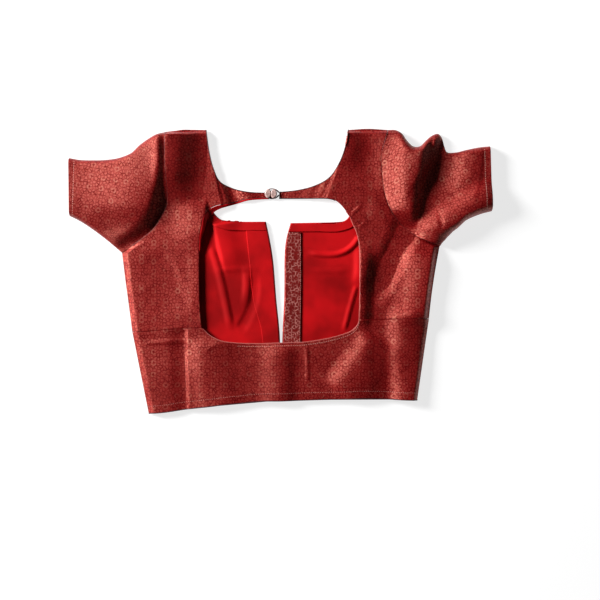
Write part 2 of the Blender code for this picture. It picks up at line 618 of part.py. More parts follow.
def build():
    """Make every piece of the blouse."""
    for old in list(bpy.data.objects):
        bpy.data.objects.remove(old)
    left, right, waist = Panel(BACK_LEFT), Panel(BACK_RIGHT), Panel(BACK_WAIST)
    pieces = [
        cloth_wall("back_left", left, BACK_COLUMNS, "brocade", CLOTH, back_underside(left)),
        cloth_wall("back_right", right, BACK_COLUMNS, "brocade", CLOTH, back_underside(right)),
        cloth_wall("back_waist", waist, WAIST_COLUMNS, "brocade", CLOTH, waist_underside(waist),
                   insets=(SEAM_GAP, 0.0)),
        sleeve("sleeve_left", SLEEVE_LEFT, left, -1.0, LEFT_BOW_ROWS, STEPS_PER_ROW),
        sleeve("sleeve_right", SLEEVE_RIGHT, right, 1.0, RIGHT_BOW_ROWS, 1),
        rolled_facing(left),
        button(),
        button_loop(),
    ]
    for side, front, facing, strip, strip_cloth in (
            ("left", FRONT_LEFT, NECK_FACING_LEFT, PLACKET_LEFT, "lining"),
            ("right", FRONT_RIGHT, NECK_FACING_RIGHT, PLACKET_RIGHT, "brocade")):
        panel = Panel(front)
        pieces += [
            cloth_wall("front_" + side, panel, 1, "brocade", CLOTH, lambda *at: 0.0,
                       insets=(0.0, FRONT_INSET)),
            cloth_wall("front_lining_" + side, panel, LINING_COLUMNS, "lining", LINING_CLOTH,
                       lining_underside(LINING_LEVEL), insets=(LINING_INSET, SEAM_LAP),
                       trims=LINING_TRIMS),
            cloth_wall("neck_facing_" + side, Panel(facing), 1, "lining", STRIP_CLOTH,
                       lining_underside(STRIP_LEVEL)),
            cloth_wall("placket_" + side, Panel(strip), 1, strip_cloth, STRIP_CLOTH,
                       lining_underside(STRIP_LEVEL), steps=STRIP_STEPS),
        ]
    centre_on_origin(pieces)


build()
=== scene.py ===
"""Choli (saree) blouse laid flat on its front: finished cloth, closure, sewing and studio.

Every cloth piece is a fine sheet drawn over the ribs of its pattern piece. The tables are in
millimetres, x from the centre line and y from the waist seam; meshes are in metres in the frame.
"""

import logging
import math
from dataclasses import dataclass, field
from enum import Enum
from functools import partial
from typing import Callable, NamedTuple, Optional, Sequence, Union

import bmesh
import bpy
import numpy as np
from mathutils import Matrix, Vector


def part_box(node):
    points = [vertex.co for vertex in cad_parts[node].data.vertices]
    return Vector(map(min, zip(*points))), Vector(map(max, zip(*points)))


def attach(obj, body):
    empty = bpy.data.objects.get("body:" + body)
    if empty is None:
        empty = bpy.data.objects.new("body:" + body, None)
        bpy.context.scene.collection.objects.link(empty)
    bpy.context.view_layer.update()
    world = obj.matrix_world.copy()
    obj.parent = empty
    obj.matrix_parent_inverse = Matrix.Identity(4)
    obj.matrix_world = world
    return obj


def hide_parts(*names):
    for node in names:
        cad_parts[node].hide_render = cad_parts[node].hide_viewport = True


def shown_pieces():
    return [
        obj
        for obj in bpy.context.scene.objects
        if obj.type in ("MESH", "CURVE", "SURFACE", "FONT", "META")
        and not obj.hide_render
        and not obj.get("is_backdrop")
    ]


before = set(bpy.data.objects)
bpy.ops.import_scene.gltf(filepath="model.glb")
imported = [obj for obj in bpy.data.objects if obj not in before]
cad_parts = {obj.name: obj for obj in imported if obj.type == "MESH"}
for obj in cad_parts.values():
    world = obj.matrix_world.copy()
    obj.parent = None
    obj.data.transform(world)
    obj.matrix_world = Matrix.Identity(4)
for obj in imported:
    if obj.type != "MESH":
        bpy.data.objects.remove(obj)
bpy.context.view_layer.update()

LOG = logging.getLogger("blouse")
Amount = Union[float, np.ndarray]
MM = 0.001
BODY = "root"
CLOTH_MAP = "cloth"          # UV map that holds the place on the cloth, in metres

# Layers, as heights above the surface
CLOTH = 1.2
LINING_CLOTH = 1.1
STRIP_CLOTH = 1.0
SEAM_GAP = 0.3
LINING_LEVEL = CLOTH + SEAM_GAP
STRIP_LEVEL = LINING_LEVEL + LINING_CLOTH + SEAM_GAP
BACK_LEVEL = STRIP_LEVEL + STRIP_CLOTH + SEAM_GAP
BAND_LEVEL = 0.6
LOFT = 2.0                   # how far the back stands off what it lies on
LOFT_LEAST = -0.6
SHOULDER_FALL = 6.0          # the same at the shoulder seams
EDGE_FALL = 9.0              # width over which the back comes down to a side or shoulder seam
SEAM_LAP = 14.0              # how far the lining stops short of the side seams
LINING_INSET = 0.8
LINING_TRIMS = (0.1, 0.65)   # rows of ribs that the lining stops short of, at hem and shoulder
FRONT_INSET = 1.0
FRONT_WALL = 0.9
LINING_WALL = 1.0
STRIP_WALL = 0.9
SLEEVE_WALL = 0.8 * CLOTH
FACING_WALL = 0.8
FACING_GAP = 0.4

# Fineness of the sheets
FINE_CELL = 1.5
COARSE_CELL = 3.0
LINING_CELL = 2.2
EDGE_STEPS = (0.0, 0.3, 0.75, 1.4, 2.2)   # first columns in from an edge
EDGE_ROLL = 0.5              # radius of a turned edge
SWELLS = ((0.50, 34.0, 4), (0.14, 12.0, 9))   # height, width and pattern of the handled cloth's swells
SWELL_TABLE = 64             # swells before a pattern repeats
HOLLOW_SHARE = 0.15          # how much of a hollow's depth past the least loft is kept
LEAST_LENGTH = 6.0           # a rib shorter than this has its edge columns squeezed
CURVE_SAMPLES = 14
CREST_ROUNDING = 7.0         # radius of the softest crest
FLANK_CURVE = 0.50           # 0 leaves a fold's sides flat, 1 rounds them from foot to crest
LEAST_FLAT = 0.0105          # narrowest width that a sheet is declared with, in metres
# a bent strip fills less of the box round it, and is declared straight
LEAST_FILL = 0.4             # a bent strip fills less of the box round it, and its flat size is taken along its length

# Sleeves
SLEEVE_SIDES = 150
SLEEVE_EDGE = 3.6
LEFT_LOFT = 13.8
RIGHT_LOFT = 12.0
LEFT_RISE = 26.0             # width over which a sleeve swells from its seam
RIGHT_RISE = 30.0
LEFT_GRAIN = 10.0            # turn of the weave, in degrees
RIGHT_GRAIN = -17.0
SLEEVE_LEAST = 3.4
SLEEVE_HEM = 0.55            # rows of ribs from the hem to its stitches
HEM_STITCHED = (0.04, 0.96)  # shares of the way round between which the hem is stitched
LEFT_BOW_ROWS = 5.0
RIGHT_BOW_ROWS = 8.0
TOP_ROUNDING = 8.0           # width over which a sleeve rounds down to its two edges
UNDER_ROUNDING = 8.0         # power of the under layer's flat curve

# Closure
BUTTON_AT = (-12.0, 184.0)
LOBE_PROFILE = ((0.0, -0.50), (0.30, -0.50), (0.44, -0.34), (0.50, -0.05), (0.49, 0.22), (0.44, 0.42),
                (0.38, 0.49), (0.31, 0.49), (0.20, 0.45), (0.0, 0.43))


class Rib(NamedTuple):
    """One section of a pattern piece, from its inner edge to its outer edge."""

    edge: str
    inner_x: float
    inner_y: float
    outer_x: float
    outer_y: float
    corner: str = ""


class Fold(NamedTuple):
    """A fold along a bent line of three points: a ridge above 0, a trough below 0.

    left and right are its widths on the two sides of the line, seen from the first point on.
    crest runs from 0, rounded, to 1, pressed sharp. The fades are shares of its length.
    """

    x1: float
    y1: float
    x2: float
    y2: float
    x3: float
    y3: float
    left: float
    right: float
    height: float
    crest: float = 0.0
    fade_in: float = 0.3
    fade_out: float = 0.3


BACK_LEFT = [
    Rib("side", -109.0, -3.5, -206.5, -10.0, "both"),
    Rib("side", -111.5, 28.0, -211.5, 28.0),
    Rib("side", -112.5, 63.0, -216.5, 64.5),
    Rib("side", -112.5, 94.0, -221.0, 101.5, "outer"),
    Rib("armhole", -112.5, 112.0, -189.5, 123.0),
    Rib("armhole", -111.5, 127.5, -175.0, 136.0),
    Rib("armhole", -109.5, 137.0, -166.0, 150.5),
    Rib("armhole", -108.0, 145.5, -157.5, 169.5),
    Rib("armhole", -106.5, 151.0, -157.0, 197.5),
    Rib("armhole", -104.5, 154.5, -159.5, 231.0),
    Rib("shoulder", -102.0, 158.0, -159.0, 271.0, "outer"),
    Rib("shoulder", -98.5, 161.5, -131.0, 273.5),
    Rib("shoulder", -94.5, 164.5, -103.0, 273.5, "outer"),
    Rib("neck", -89.0, 167.0, -98.5, 242.0),
    Rib("neck", -82.5, 168.5, -92.5, 218.5),
    Rib("slope", -75.0, 169.5, -84.0, 201.0),
    Rib("band", -61.0, 173.0, -68.0, 192.0),
    Rib("rise", -43.5, 177.0, -47.0, 186.5),
    Rib("lift", -24.5, 178.0, -24.5, 185.0),
    Rib("band", -5.0, 178.0, -5.0, 185.5, "both"),
]
BACK_RIGHT = [
    Rib("side", 111.5, 7.5, 209.5, 9.0, "both"),
    Rib("side", 112.5, 38.0, 213.5, 43.5),
    Rib("side", 112.5, 70.0, 218.5, 77.0),
    Rib("side", 112.5, 98.0, 224.5, 110.5, "outer"),
    Rib("armhole", 111.5, 115.0, 194.5, 123.0),
    Rib("armhole", 110.0, 123.0, 181.5, 131.0),
    Rib("armhole", 108.0, 130.0, 167.5, 143.5),
    Rib("armhole", 105.0, 137.0, 155.5, 161.0),
    Rib("armhole", 102.0, 143.5, 147.5, 182.0),
    Rib("armhole", 99.5, 150.0, 143.5, 210.0),
    Rib("armhole", 96.5, 154.5, 142.5, 238.0),
    Rib("shoulder", 93.0, 159.5, 152.0, 273.5, "outer"),
    Rib("shoulder", 87.5, 166.5, 124.0, 275.0),
    Rib("shoulder", 81.0, 172.5, 96.5, 273.5, "outer"),
    Rib("neck", 75.0, 175.5, 92.5, 250.5),
    Rib("neck", 68.0, 177.0, 84.0, 227.0),
    Rib("slope", 56.5, 177.5, 69.5, 206.0),
    Rib("rise", 44.0, 177.5, 48.5, 194.5),
    Rib("lift", 24.5, 177.5, 24.5, 188.5),
    Rib("band", -0.5, 177.5, -0.5, 186.0, "both"),
]
BACK_WAIST = [
    Rib("side", -206.5, -10.0, -183.5, -124.0, "both"),
    Rib("seam", -173.0, -7.8, -160.5, -122.0),
    Rib("seam", -135.0, -5.2, -129.5, -117.5),
    Rib("seam", -109.0, -3.5, -107.0, -115.0, "inner"),
    Rib("window", -98.0, -14.0, -94.5, -113.5),
    Rib("window", -82.0, -22.0, -79.0, -111.5),
    Rib("window", -62.5, -25.0, -59.5, -109.5),
    Rib("window", -30.0, -26.0, -27.5, -106.5),
    Rib("window", 2.0, -25.0, 3.5, -106.0),
    Rib("window", 33.5, -24.0, 34.5, -105.0),
    Rib("window", 66.0, -19.0, 66.5, -104.0),
    Rib("window", 90.5, -12.5, 90.5, -103.5),
    Rib("window", 101.5, -7.5, 101.5, -103.0),
    Rib("window", 109.0, 0.0, 110.0, -102.5),
    Rib("seam", 111.5, 7.5, 117.0, -102.5, "inner"),
    Rib("seam", 140.5, 7.9, 142.0, -103.0),
    Rib("seam", 174.5, 8.4, 174.5, -104.5),
    Rib("side", 209.5, 9.0, 193.0, -105.0, "both"),
]
FRONT_LEFT = [
    Rib("hem", 1.0, -106.0, -183.0, -122.5, "both"),
    Rib("body", 0.5, -17.0, -205.5, -10.0),
    Rib("body", -4.5, 36.5, -216.5, 70.0),
    Rib("body", -9.0, 91.0, -220.5, 101.0, "outer"),
    Rib("body", -13.5, 119.0, -189.5, 123.0),
    Rib("body", -19.0, 145.0, -175.0, 136.0, "inner"),
    Rib("body", -55.5, 145.0, -166.0, 150.5),
    Rib("body", -80.0, 147.0, -157.5, 169.5),
    Rib("body", -90.5, 155.5, -157.0, 197.5),
    Rib("body", -101.5, 175.0, -159.0, 217.0),
    Rib("body", -106.5, 217.0, -160.0, 245.0),
    Rib("shoulder", -104.5, 271.5, -159.0, 270.0, "both"),
]
FRONT_RIGHT = [
    Rib("hem", 3.5, -105.5, 192.5, -104.5, "both"),
    Rib("body", 4.0, -17.0, 208.5, 8.5),
    Rib("body", 6.5, 36.5, 215.5, 56.0),
    Rib("body", 7.5, 105.0, 224.0, 110.0, "outer"),
    Rib("body", 10.0, 123.0, 194.5, 123.0),
    Rib("body", 15.5, 143.0, 181.5, 131.0, "inner"),
    Rib("body", 49.5, 143.5, 167.5, 143.5),
    Rib("body", 84.5, 144.0, 155.5, 161.0),
    Rib("body", 95.0, 149.0, 147.5, 182.0),
    Rib("body", 101.5, 164.0, 143.5, 210.0),
    Rib("body", 100.0, 210.0, 142.5, 238.0),
    Rib("shoulder", 98.0, 271.5, 151.0, 271.5, "both"),
]
SLEEVE_LEFT = [
    Rib("armhole", -159.0, 271.0, -221.0, 101.5, "both"),
    Rib("cap", -173.0, 266.5, -227.5, 107.0),
    Rib("cap", -184.0, 260.5, -234.0, 112.5),
    Rib("cap", -195.5, 252.0, -240.0, 117.5),
    Rib("cap", -206.5, 241.5, -247.0, 123.0),
    Rib("cap", -223.5, 234.5, -255.5, 129.5),
    Rib("body", -243.0, 231.5, -265.5, 136.5),
    Rib("body", -262.5, 231.0, -276.0, 143.5),
    Rib("body", -279.5, 231.5, -285.0, 148.5),
    Rib("hem", -294.5, 234.0, -293.5, 152.5, "both"),
]
SLEEVE_RIGHT = [
    Rib("armhole", 152.0, 273.5, 224.5, 110.5, "both"),
    Rib("cap", 163.0, 273.0, 228.0, 115.5),
    Rib("cap", 171.5, 268.0, 231.5, 119.0),
    Rib("cap", 178.5, 258.5, 234.5, 122.5),
    Rib("cap", 187.0, 250.5, 237.5, 125.5),
    Rib("cap", 196.5, 250.5, 240.0, 128.0),
    Rib("cap", 205.0, 258.5, 243.0, 131.0),
    Rib("cap", 213.5, 265.5, 244.5, 132.0),
    Rib("body", 222.0, 268.0, 246.5, 133.6),
    Rib("body", 227.0, 263.0, 249.0, 135.4),
    Rib("body", 230.4, 251.5, 255.0, 141.0),
    Rib("body", 234.5, 242.5, 260.0, 145.6),
    Rib("body", 247.0, 242.0, 264.0, 148.0),
    Rib("body", 262.0, 245.5, 268.0, 150.0),
    Rib("body", 279.5, 249.0, 282.0, 155.5),
    Rib("hem", 294.5, 250.5, 297.0, 159.5, "both"),
]
NECK_FACING_LEFT = [
    Rib("opening", -20.2, 144.0, -17.6, 132.5, "both"),
    Rib("neck", -55.5, 144.0, -55.5, 132.3),
    Rib("neck", -79.0, 146.0, -78.0, 134.2),
    Rib("neck", -90.5, 154.0, -100.5, 144.5),
    Rib("under back", -97.5, 166.5, -110.0, 160.5, "both"),
]
NECK_FACING_RIGHT = [
    Rib("opening", 16.4, 142.0, 12.2, 130.5, "both"),
    Rib("neck", 49.5, 142.3, 49.5, 130.8),
    Rib("neck", 83.5, 142.8, 85.0, 131.2),
    Rib("neck", 94.5, 148.2, 104.5, 139.0),
    Rib("under back", 100.5, 158.5, 113.0, 152.0, "both"),
]
PLACKET_LEFT = [
    Rib("top", -17.4, 132.1, -47.0, 132.0, "both"),
    Rib("strip", -10.5, 91.0, -42.0, 85.0),
    Rib("strip", -6.0, 36.5, -37.0, 36.0),
    Rib("strip", -1.0, -17.0, -25.0, -12.0),
    Rib("hem", -0.5, -98.0, -23.0, -98.0, "both"),
]
PLACKET_RIGHT = [
    Rib("top", 12.1, 130.0, 30.5, 130.0, "both"),
    Rib("strip", 8.8, 105.0, 30.5, 105.0),
    Rib("strip", 7.8, 36.5, 30.5, 36.5),
    Rib("strip", 5.4, -17.0, 29.5, -17.0),
    Rib("hem", 5.0, -98.0, 29.0, -98.0, "both"),
]
ROLLED_FACING = [(3.5, 1.0), (5.5, 4.5), (8.0, 6.5), (11.0, 7.5), (13.5, 5.5), (15.0, 3.6), (18.5, 1.2)]

BACK_FOLDS = [
    Fold(-134.3, -1.4, -133.4, -51.8, -130.9, -119.0, 6, 24, -1.9, 0.7, 0.12, 0),
    Fold(-172.9, 112.0, -153.3, 70.0, -133.0, 9.8, 16, 44, -1.0, 0.1, 0.3, 0.2),
    Fold(-104.3, -12.6, -100.1, -60.2, -93.1, -110.6, 58, 30, 3.2, 0, 0.2, 0),
    Fold(1.4, -22.4, 1.0, -60.2, 0.4, -106.4, 27, 34, 3.5, 0.7, 0.25, 0),
    Fold(37.8, -25.2, 39.1, -56.0, 40.2, -85.4, 3, 4, 0.7, 0.5, 0.2, 0.3),
    Fold(137.9, -12.6, 115.5, -51.8, 76.3, -99.4, 60, 31, 4.9, 0.1, 0.2, 0.15),
    Fold(137.3, 29.4, 141.0, -21.0, 148.7, -105.0, 20, 26, -1.4, 0.5, 0.3, 0),
    Fold(175.7, 35.0, 178.5, -35.0, 179.9, -105.0, 38, 30, 5.4, 0.1, 0.2, 0),
    Fold(-115.5, 105.0, -115.5, 63.0, -114.1, -4.2, 12, 16, 0.6, 0.1, 0.3, 0.3),
    Fold(-107.1, 177.8, -107.1, 144.2, -108.5, 96.6, 8, 46, 4.0, 0.1, 0.3, 0.4),
    Fold(-158.9, 287.0, -158.9, 228.2, -170.1, 158.2, 57, 45, 14.4, 0.2, 0.0, 0.45),
    Fold(154.7, 281.4, 153.3, 231.0, 146.3, 166.6, 45, 26, 1.8, 0.1, 0.0, 0.35),
    Fold(88.9, 284.2, 90.3, 245.0, 80.5, 208.6, 34, 30, 4.8, 0.4, 0.0, 0.5),
    Fold(114.1, 119.0, 114.1, 56.0, 108.5, -9.8, 20, 5, 4.6, 0.3, 0.25, 0.2),
    Fold(184.1, 141.4, 160.3, 92.4, 118.3, 18.2, 22, 28, -4.8, 0.3, 0.1, 0.3),
    Fold(210.7, 119.0, 207.9, 56.0, 199.5, -7.0, 12, 52, 8.0, 0.1, 0.25, 0.2),
    Fold(121.1, 175.0, 143.5, 158.2, 165.9, 144.2, 14, 20, 1.6, 0, 0.4, 0.4),
    Fold(-105.7, -39.2, -95.9, -30.8, -83.3, -28.0, 3, 4, 0.45, 0.3, 0.3, 0.4),
    Fold(100.1, 152.6, 108.5, 162.4, 118.3, 168.0, 3, 4, 0.5, 0.3, 0.3, 0.4),
    Fold(108.5, 134.4, 115.5, 140.0, 123.9, 142.8, 3, 4, 0.4, 0.3, 0.3, 0.4),
    Fold(-191.1, -26.6, -160.3, -23.8, -114.1, -22.4, 5, 4, 0.7, 0.2, 0.2, 0.3),
]
LINING_FOLDS = [
    Fold(-98.7, 109.2, -84.7, 77.0, -66.5, -9.8, 5, 8, 1.5, 0.7, 0.25, 0.1),
    Fold(-87.5, 144.2, -81.9, 113.4, -67.9, 63.0, 34, 8, 2.8, 0.1, 0.1, 0.3),
    Fold(-39.9, 74.2, -38.5, 35.0, -58.1, -8.4, 12, 7, -1.2, 0.3, 0.3, 0.1),
    Fold(-48.3, 88.2, -45.5, 56.0, -49.7, 21.0, 8, 7, 1.4, 0.2, 0.4, 0.4),
    Fold(-97.3, 74.2, -58.1, 78.4, -24.5, 77.0, 5, 5, 0.45, 0.5, 0.3, 0.3),
    Fold(37.1, 102.2, 84.7, 99.4, 112.7, 124.6, 6, 3.5, 2.0, 0.6, 0.15, 0.05),
    Fold(109.2, 57.4, 100.1, 26.6, 90.3, -11.2, 3, 5, 1.3, 0.7, 0.15, 0.15),
    Fold(114.1, 114.8, 115.5, 84.0, 111.3, 51.8, 3, 13, 2.4, 0.0, 0.3, 0.3),
    Fold(37.1, 77.0, 70.7, 75.6, 101.5, 77.0, 5, 5, 0.45, 0.5, 0.3, 0.3),
]
SLEEVE_FOLDS = [
    Fold(198.1, 281.4, 189.7, 214.2, 175.7, 135.8, 18, 48, 8.8, 0.2, 0.0, 0.15),
    Fold(224.7, 275.8, 223.3, 224.0, 175.7, 165.2, 46, 18, -6.8, 0.2, 0.0, 0.4),
    Fold(188.3, 110.6, 233.1, 140.0, 286.3, 175.0, 30, 34, 11.0, 0.1, 0.35, 0.0),
    Fold(277.9, 247.8, 275.1, 210.0, 263.9, 168.0, 10, 34, 1.2, 0, 0.1, 0.2),
    Fold(220.5, 158.2, 224.7, 147.0, 226.1, 133.0, 4, 5, -0.8, 0.2, 0.35, 0.2),
    Fold(221.9, 271.6, 220.5, 259.0, 214.9, 245.0, 7, 7, 3.0, 0.2, 0.0, 0.4),
    Fold(-178.5, 281.4, -177.1, 203.0, -195.3, 124.6, 16, 110, 8.0, 0.1, 0.0, 0.25),
    Fold(-265.3, 105.0, -220.5, 110.6, -175.7, 133.0, 60, 14, -4.0, 0.1, 0.0, 0.0),
]


def ease(amount: np.ndarray) -> np.ndarray:
    """Smooth step from 0 to 1, level at both ends."""
    held = np.clip(amount, 0.0, 1.0)
    return held * held * (3.0 - 2.0 * held)


def flank(amount: np.ndarray) -> np.ndarray:
    """Rise from 0 to 1 with nearly flat sides, as a fold of cloth has."""
    held = np.clip(amount, 0.0, 1.0)
    return held - FLANK_CURVE * np.sin(2 * math.pi * held) / (2 * math.pi)


def blend(start: Amount, end: Amount, amount: Amount) -> Amount:
    """Mix of two numbers or arrays; amount 0 gives the start and 1 the end."""
    return start + (end - start) * amount


def knot_step(start: np.ndarray, end: np.ndarray) -> np.ndarray:
    """Spacing of two knots of a centripetal curve."""
    return np.maximum(np.linalg.norm(end - start, axis=1), 1e-6)[:, None] ** 0.5


def smooth_line(points: np.ndarray, corners: np.ndarray, places: np.ndarray) -> np.ndarray:
    """Points on the centripetal curve through a row of points.

    Args:
        points: The points that the curve passes, one a row.
        corners: Which points break the curve.
        places: Places along it, counted in rows.

    Returns:
        One point for each place.
    """
    row = np.minimum(places.astype(int), len(points) - 2)
    start, end = points[row], points[row + 1]
    first = (row == 0) | corners[row]
    last = (row + 2 >= len(points)) | corners[row + 1]
    before = np.where(first[:, None], 2 * start - end, points[np.maximum(row - 1, 0)])
    after = np.where(last[:, None], 2 * end - start, points[np.minimum(row + 2, len(points) - 1)])

    t1 = knot_step(before, start)
    t2 = t1 + knot_step(start, end)
    t3 = t2 + knot_step(end, after)
    t = blend(t1, t2, (places - row)[:, None])
    a1 = (before * (t1 - t) + start * t) / t1
    a2 = (start * (t2 - t) + end * (t - t1)) / (t2 - t1)
    a3 = (end * (t3 - t) + after * (t - t2)) / (t3 - t2)
    b1 = (a1 * (t2 - t) + a2 * t) / t2
    b2 = (a2 * (t3 - t) + a3 * (t - t1)) / (t3 - t1)
    return (b1 * (t2 - t) + b2 * (t - t1)) / (t2 - t1)


def fold_height(fold: Fold, x: np.ndarray, y: np.ndarray) -> np.ndarray:
    """Height that one fold adds at each point.

    Args:
        fold: The fold.
        x: Points across, in millimetres.
        y: Points along, in millimetres.

    Returns:
        The height at each point.
    """
    t = np.linspace(0.0, 1.0, CURVE_SAMPLES + 1)
    shares = (2 * (t - 0.5) * (t - 1), -4 * t * (t - 1), 2 * t * (t - 0.5))
    line_x = sum(share * at for share, at in zip(shares, (fold.x1, fold.x2, fold.x3)))
    line_y = sum(share * at for share, at in zip(shares, (fold.y1, fold.y2, fold.y3)))
    reach = max(fold.left, fold.right)
    near = ((x > line_x.min() - reach) & (x < line_x.max() + reach)
            & (y > line_y.min() - reach) & (y < line_y.max() + reach))
    height = np.zeros_like(x)
    if not near.any():
        return height
    px, py = x[near], y[near]
    least = np.full(px.shape, np.inf)
    place, side = np.zeros(px.shape), np.zeros(px.shape)
    for i in range(CURVE_SAMPLES):
        dx, dy = line_x[i + 1] - line_x[i], line_y[i + 1] - line_y[i]
        along = np.clip(((px - line_x[i]) * dx + (py - line_y[i]) * dy) / (dx * dx + dy * dy), 0, 1)
        away_x, away_y = px - line_x[i] - along * dx, py - line_y[i] - along * dy
        far = away_x ** 2 + away_y ** 2
        closer = far < least
        least = np.where(closer, far, least)
        place = np.where(closer, (i + along) / CURVE_SAMPLES, place)
        side = np.where(closer, dx * away_y - dy * away_x, side)
    width = np.where(side > 0, fold.left, fold.right)
    soft = CREST_ROUNDING * (1.0 - fold.crest)
    away = (np.sqrt(least + soft ** 2) - soft) / (np.sqrt(width ** 2 + soft ** 2) - soft)
    fade = np.ones(px.shape)
    if fold.fade_in > 0:
        fade = fade * ease(place / fold.fade_in)
    if fold.fade_out > 0:
        fade = fade * ease((1.0 - place) / fold.fade_out)
    height[near] = fold.height * fade * flank(1.0 - away)
    return height


def relief(folds: Sequence[Fold], x: np.ndarray, y: np.ndarray) -> np.ndarray:
    """Height that all the folds add at each point."""
    return sum((fold_height(fold, x, y) for fold in folds), np.zeros_like(x))


def crumple(x: np.ndarray, y: np.ndarray, size: float, seed: int) -> np.ndarray:
    """Soft uneven ground from -1 to 1, the same each run.

    Args:
        x: Points across, in millimetres.
        y: Points along, in millimetres.
        size: Width of one swell, in millimetres.
        seed: Which pattern of swells.

    Returns:
        The swell's height at each point.
    """
    table = np.random.default_rng(seed).uniform(-1.0, 1.0, (SWELL_TABLE, SWELL_TABLE))
    column, row = np.floor(x / size).astype(int), np.floor(y / size).astype(int)
    across, along = ease(x / size - column), ease(y / size - row)
    near, far = (blend(table[at % SWELL_TABLE, column % SWELL_TABLE],
                       table[at % SWELL_TABLE, (column + 1) % SWELL_TABLE], across) for at in (row, row + 1))
    return blend(near, far, along)


def edge_roll(distance: np.ndarray) -> np.ndarray:
    """How far the surface has dropped at a distance from a turned edge."""
    inside = np.clip(1.0 - distance / EDGE_ROLL, 0.0, 1.0)
    return EDGE_ROLL * (1.0 - np.sqrt(1.0 - inside ** 2))


@dataclass
class Spread:
    """Points of a pattern piece laid out in rows, all in millimetres."""

    place: np.ndarray
    x: np.ndarray
    y: np.ndarray
    from_inner: np.ndarray
    from_outer: np.ndarray
    from_first: np.ndarray
    from_last: np.ndarray


class Panel:
    """A pattern piece: two smooth edges through the ends of its ribs."""

    def __init__(self, ribs: Sequence[Rib]) -> None:
        """Read the ribs' ends and corners.

        Args:
            ribs: The ribs, from the first row to the last.
        """
        self.ribs = list(ribs)
        self.ends = {"inner": np.array([(rib.inner_x, rib.inner_y) for rib in ribs]),
                     "outer": np.array([(rib.outer_x, rib.outer_y) for rib in ribs])}
        self.corners = {side: np.array([rib.corner in (side, "both") for rib in ribs])
                        for side in ("inner", "outer")}
        self.rows = len(self.ribs) - 1

    def edge(self, side: str, places: np.ndarray) -> np.ndarray:
        """Points of the inner or outer edge at places counted in rows."""
        return smooth_line(self.ends[side], self.corners[side], places)

    def per_row(self, values: dict, places: np.ndarray) -> np.ndarray:
        """A quantity that each rib's edge name gives, read between the ribs.

        Args:
            values: The quantity by edge name.
            places: Places in rows of ribs.

        Returns:
            The quantity at each place.
        """
        table = np.array([values[rib.edge] for rib in self.ribs])
        row = np.minimum(places.astype(int), self.rows - 1)
        return blend(table[row], table[row + 1], ease(places - row))

    def stations(self, cell: float, first: float, last: float) -> np.ndarray:
        """Places of the rows of a sheet, evenly spaced, with close ones at both ends.

        Args:
            cell: Spacing wanted, in millimetres.
            first: First place, in rows.
            last: Last place, in rows.

        Returns:
            The places, in rows.
        """
        bounds = [first] + [row for row in range(self.rows + 1) if first < row < last] + [last]
        places = [np.array([first])]
        for start, end in zip(bounds, bounds[1:]):
            both = np.array([float(start), float(end)])
            length = max(np.linalg.norm(np.diff(self.edge(side, both), axis=0))
                         for side in ("inner", "outer"))
            steps = np.linspace(0.0, 1.0, max(2, math.ceil(length / cell)) + 1)[1:]
            close = np.array(EDGE_STEPS[1:]) / max(length, 1.0)
            if start == first:
                steps = np.concatenate([close, steps[steps > close[-1] * 1.2]])
            if end == last:
                steps = np.concatenate([steps[steps < 1 - close[-1] * 1.2], (1 - close)[::-1], [1.0]])
            places.append(start + (end - start) * steps)
        return np.concatenate(places)

    def lengths(self, places: np.ndarray) -> np.ndarray:
        """Length of the rib at each place."""
        return np.linalg.norm(self.edge("outer", places) - self.edge("inner", places), axis=1)

    def across(self, places: np.ndarray, columns: int, row: np.ndarray, column: np.ndarray,
               insets: tuple) -> np.ndarray:
        """Distance of a grid's points from the inner edge, with close columns at both edges.

        Args:
            places: The place of each row of the grid, in rows of ribs.
            columns: How many cells the grid has across.
            row: Each point's row in the grid.
            column: Each point's column in the grid.
            insets: How far the inner and the outer edge are cut back.

        Returns:
            The distances, in millimetres.
        """
        width = (self.lengths(places) - sum(insets))[row]
        squeeze = np.minimum(1.0, width / LEAST_LENGTH)
        steps = np.array(EDGE_STEPS)
        count = len(steps) - 1
        share = (np.clip(column, count, columns - count) - count) / (columns - 2 * count)
        margin = steps[-1] * squeeze
        across = blend(margin, width - margin, share)
        across = np.where(column < count, steps[np.minimum(column, count)] * squeeze, across)
        from_outer = steps[np.minimum(columns - column, count)] * squeeze
        return np.where(columns - column < count, width - from_outer, across)

    def lay(self, places: np.ndarray, across: np.ndarray, insets: tuple = (0.0, 0.0),
            ends: Optional[tuple] = None) -> Spread:
        """Points of the piece at places along it and distances from its inner edge.

        Args:
            places: Place of each point, in rows of ribs.
            across: Distance of each point from the inner edge.
            insets: How far the inner and the outer edge are cut back.
            ends: First and last place of the piece as cut, or None for its own ribs.

        Returns:
            The points with their distances from the edges.
        """
        inner, outer = self.edge("inner", places), self.edge("outer", places)
        length = np.linalg.norm(outer - inner, axis=1)
        points = blend(inner, outer, ((insets[0] + across) / length)[:, None])
        x, y = points[:, 0], points[:, 1]
        ends = np.array(ends or (0.0, float(self.rows)))
        starts, stops = self.edge("inner", ends), self.edge("outer", ends)
        return Spread(places, x, y, across, length - sum(insets) - across,
                      self.from_rib(starts[0], stops[0], x, y), self.from_rib(starts[1], stops[1], x, y))

    @staticmethod
    def from_rib(start: np.ndarray, end: np.ndarray, x: np.ndarray, y: np.ndarray) -> np.ndarray:
        """Distance of each point from the straight line of a rib."""
        dx, dy = (end - start) / np.linalg.norm(end - start)
        return np.abs((x - start[0]) * dy - (y - start[1]) * dx)


def cloth_relief(folds: Sequence[Fold], x: np.ndarray, y: np.ndarray) -> np.ndarray:
    """Folds of the brocade with the soft uneven swell of cloth that has been handled."""
    return sum((height * crumple(x, y, size, seed) for height, size, seed in SWELLS), relief(folds, x, y))


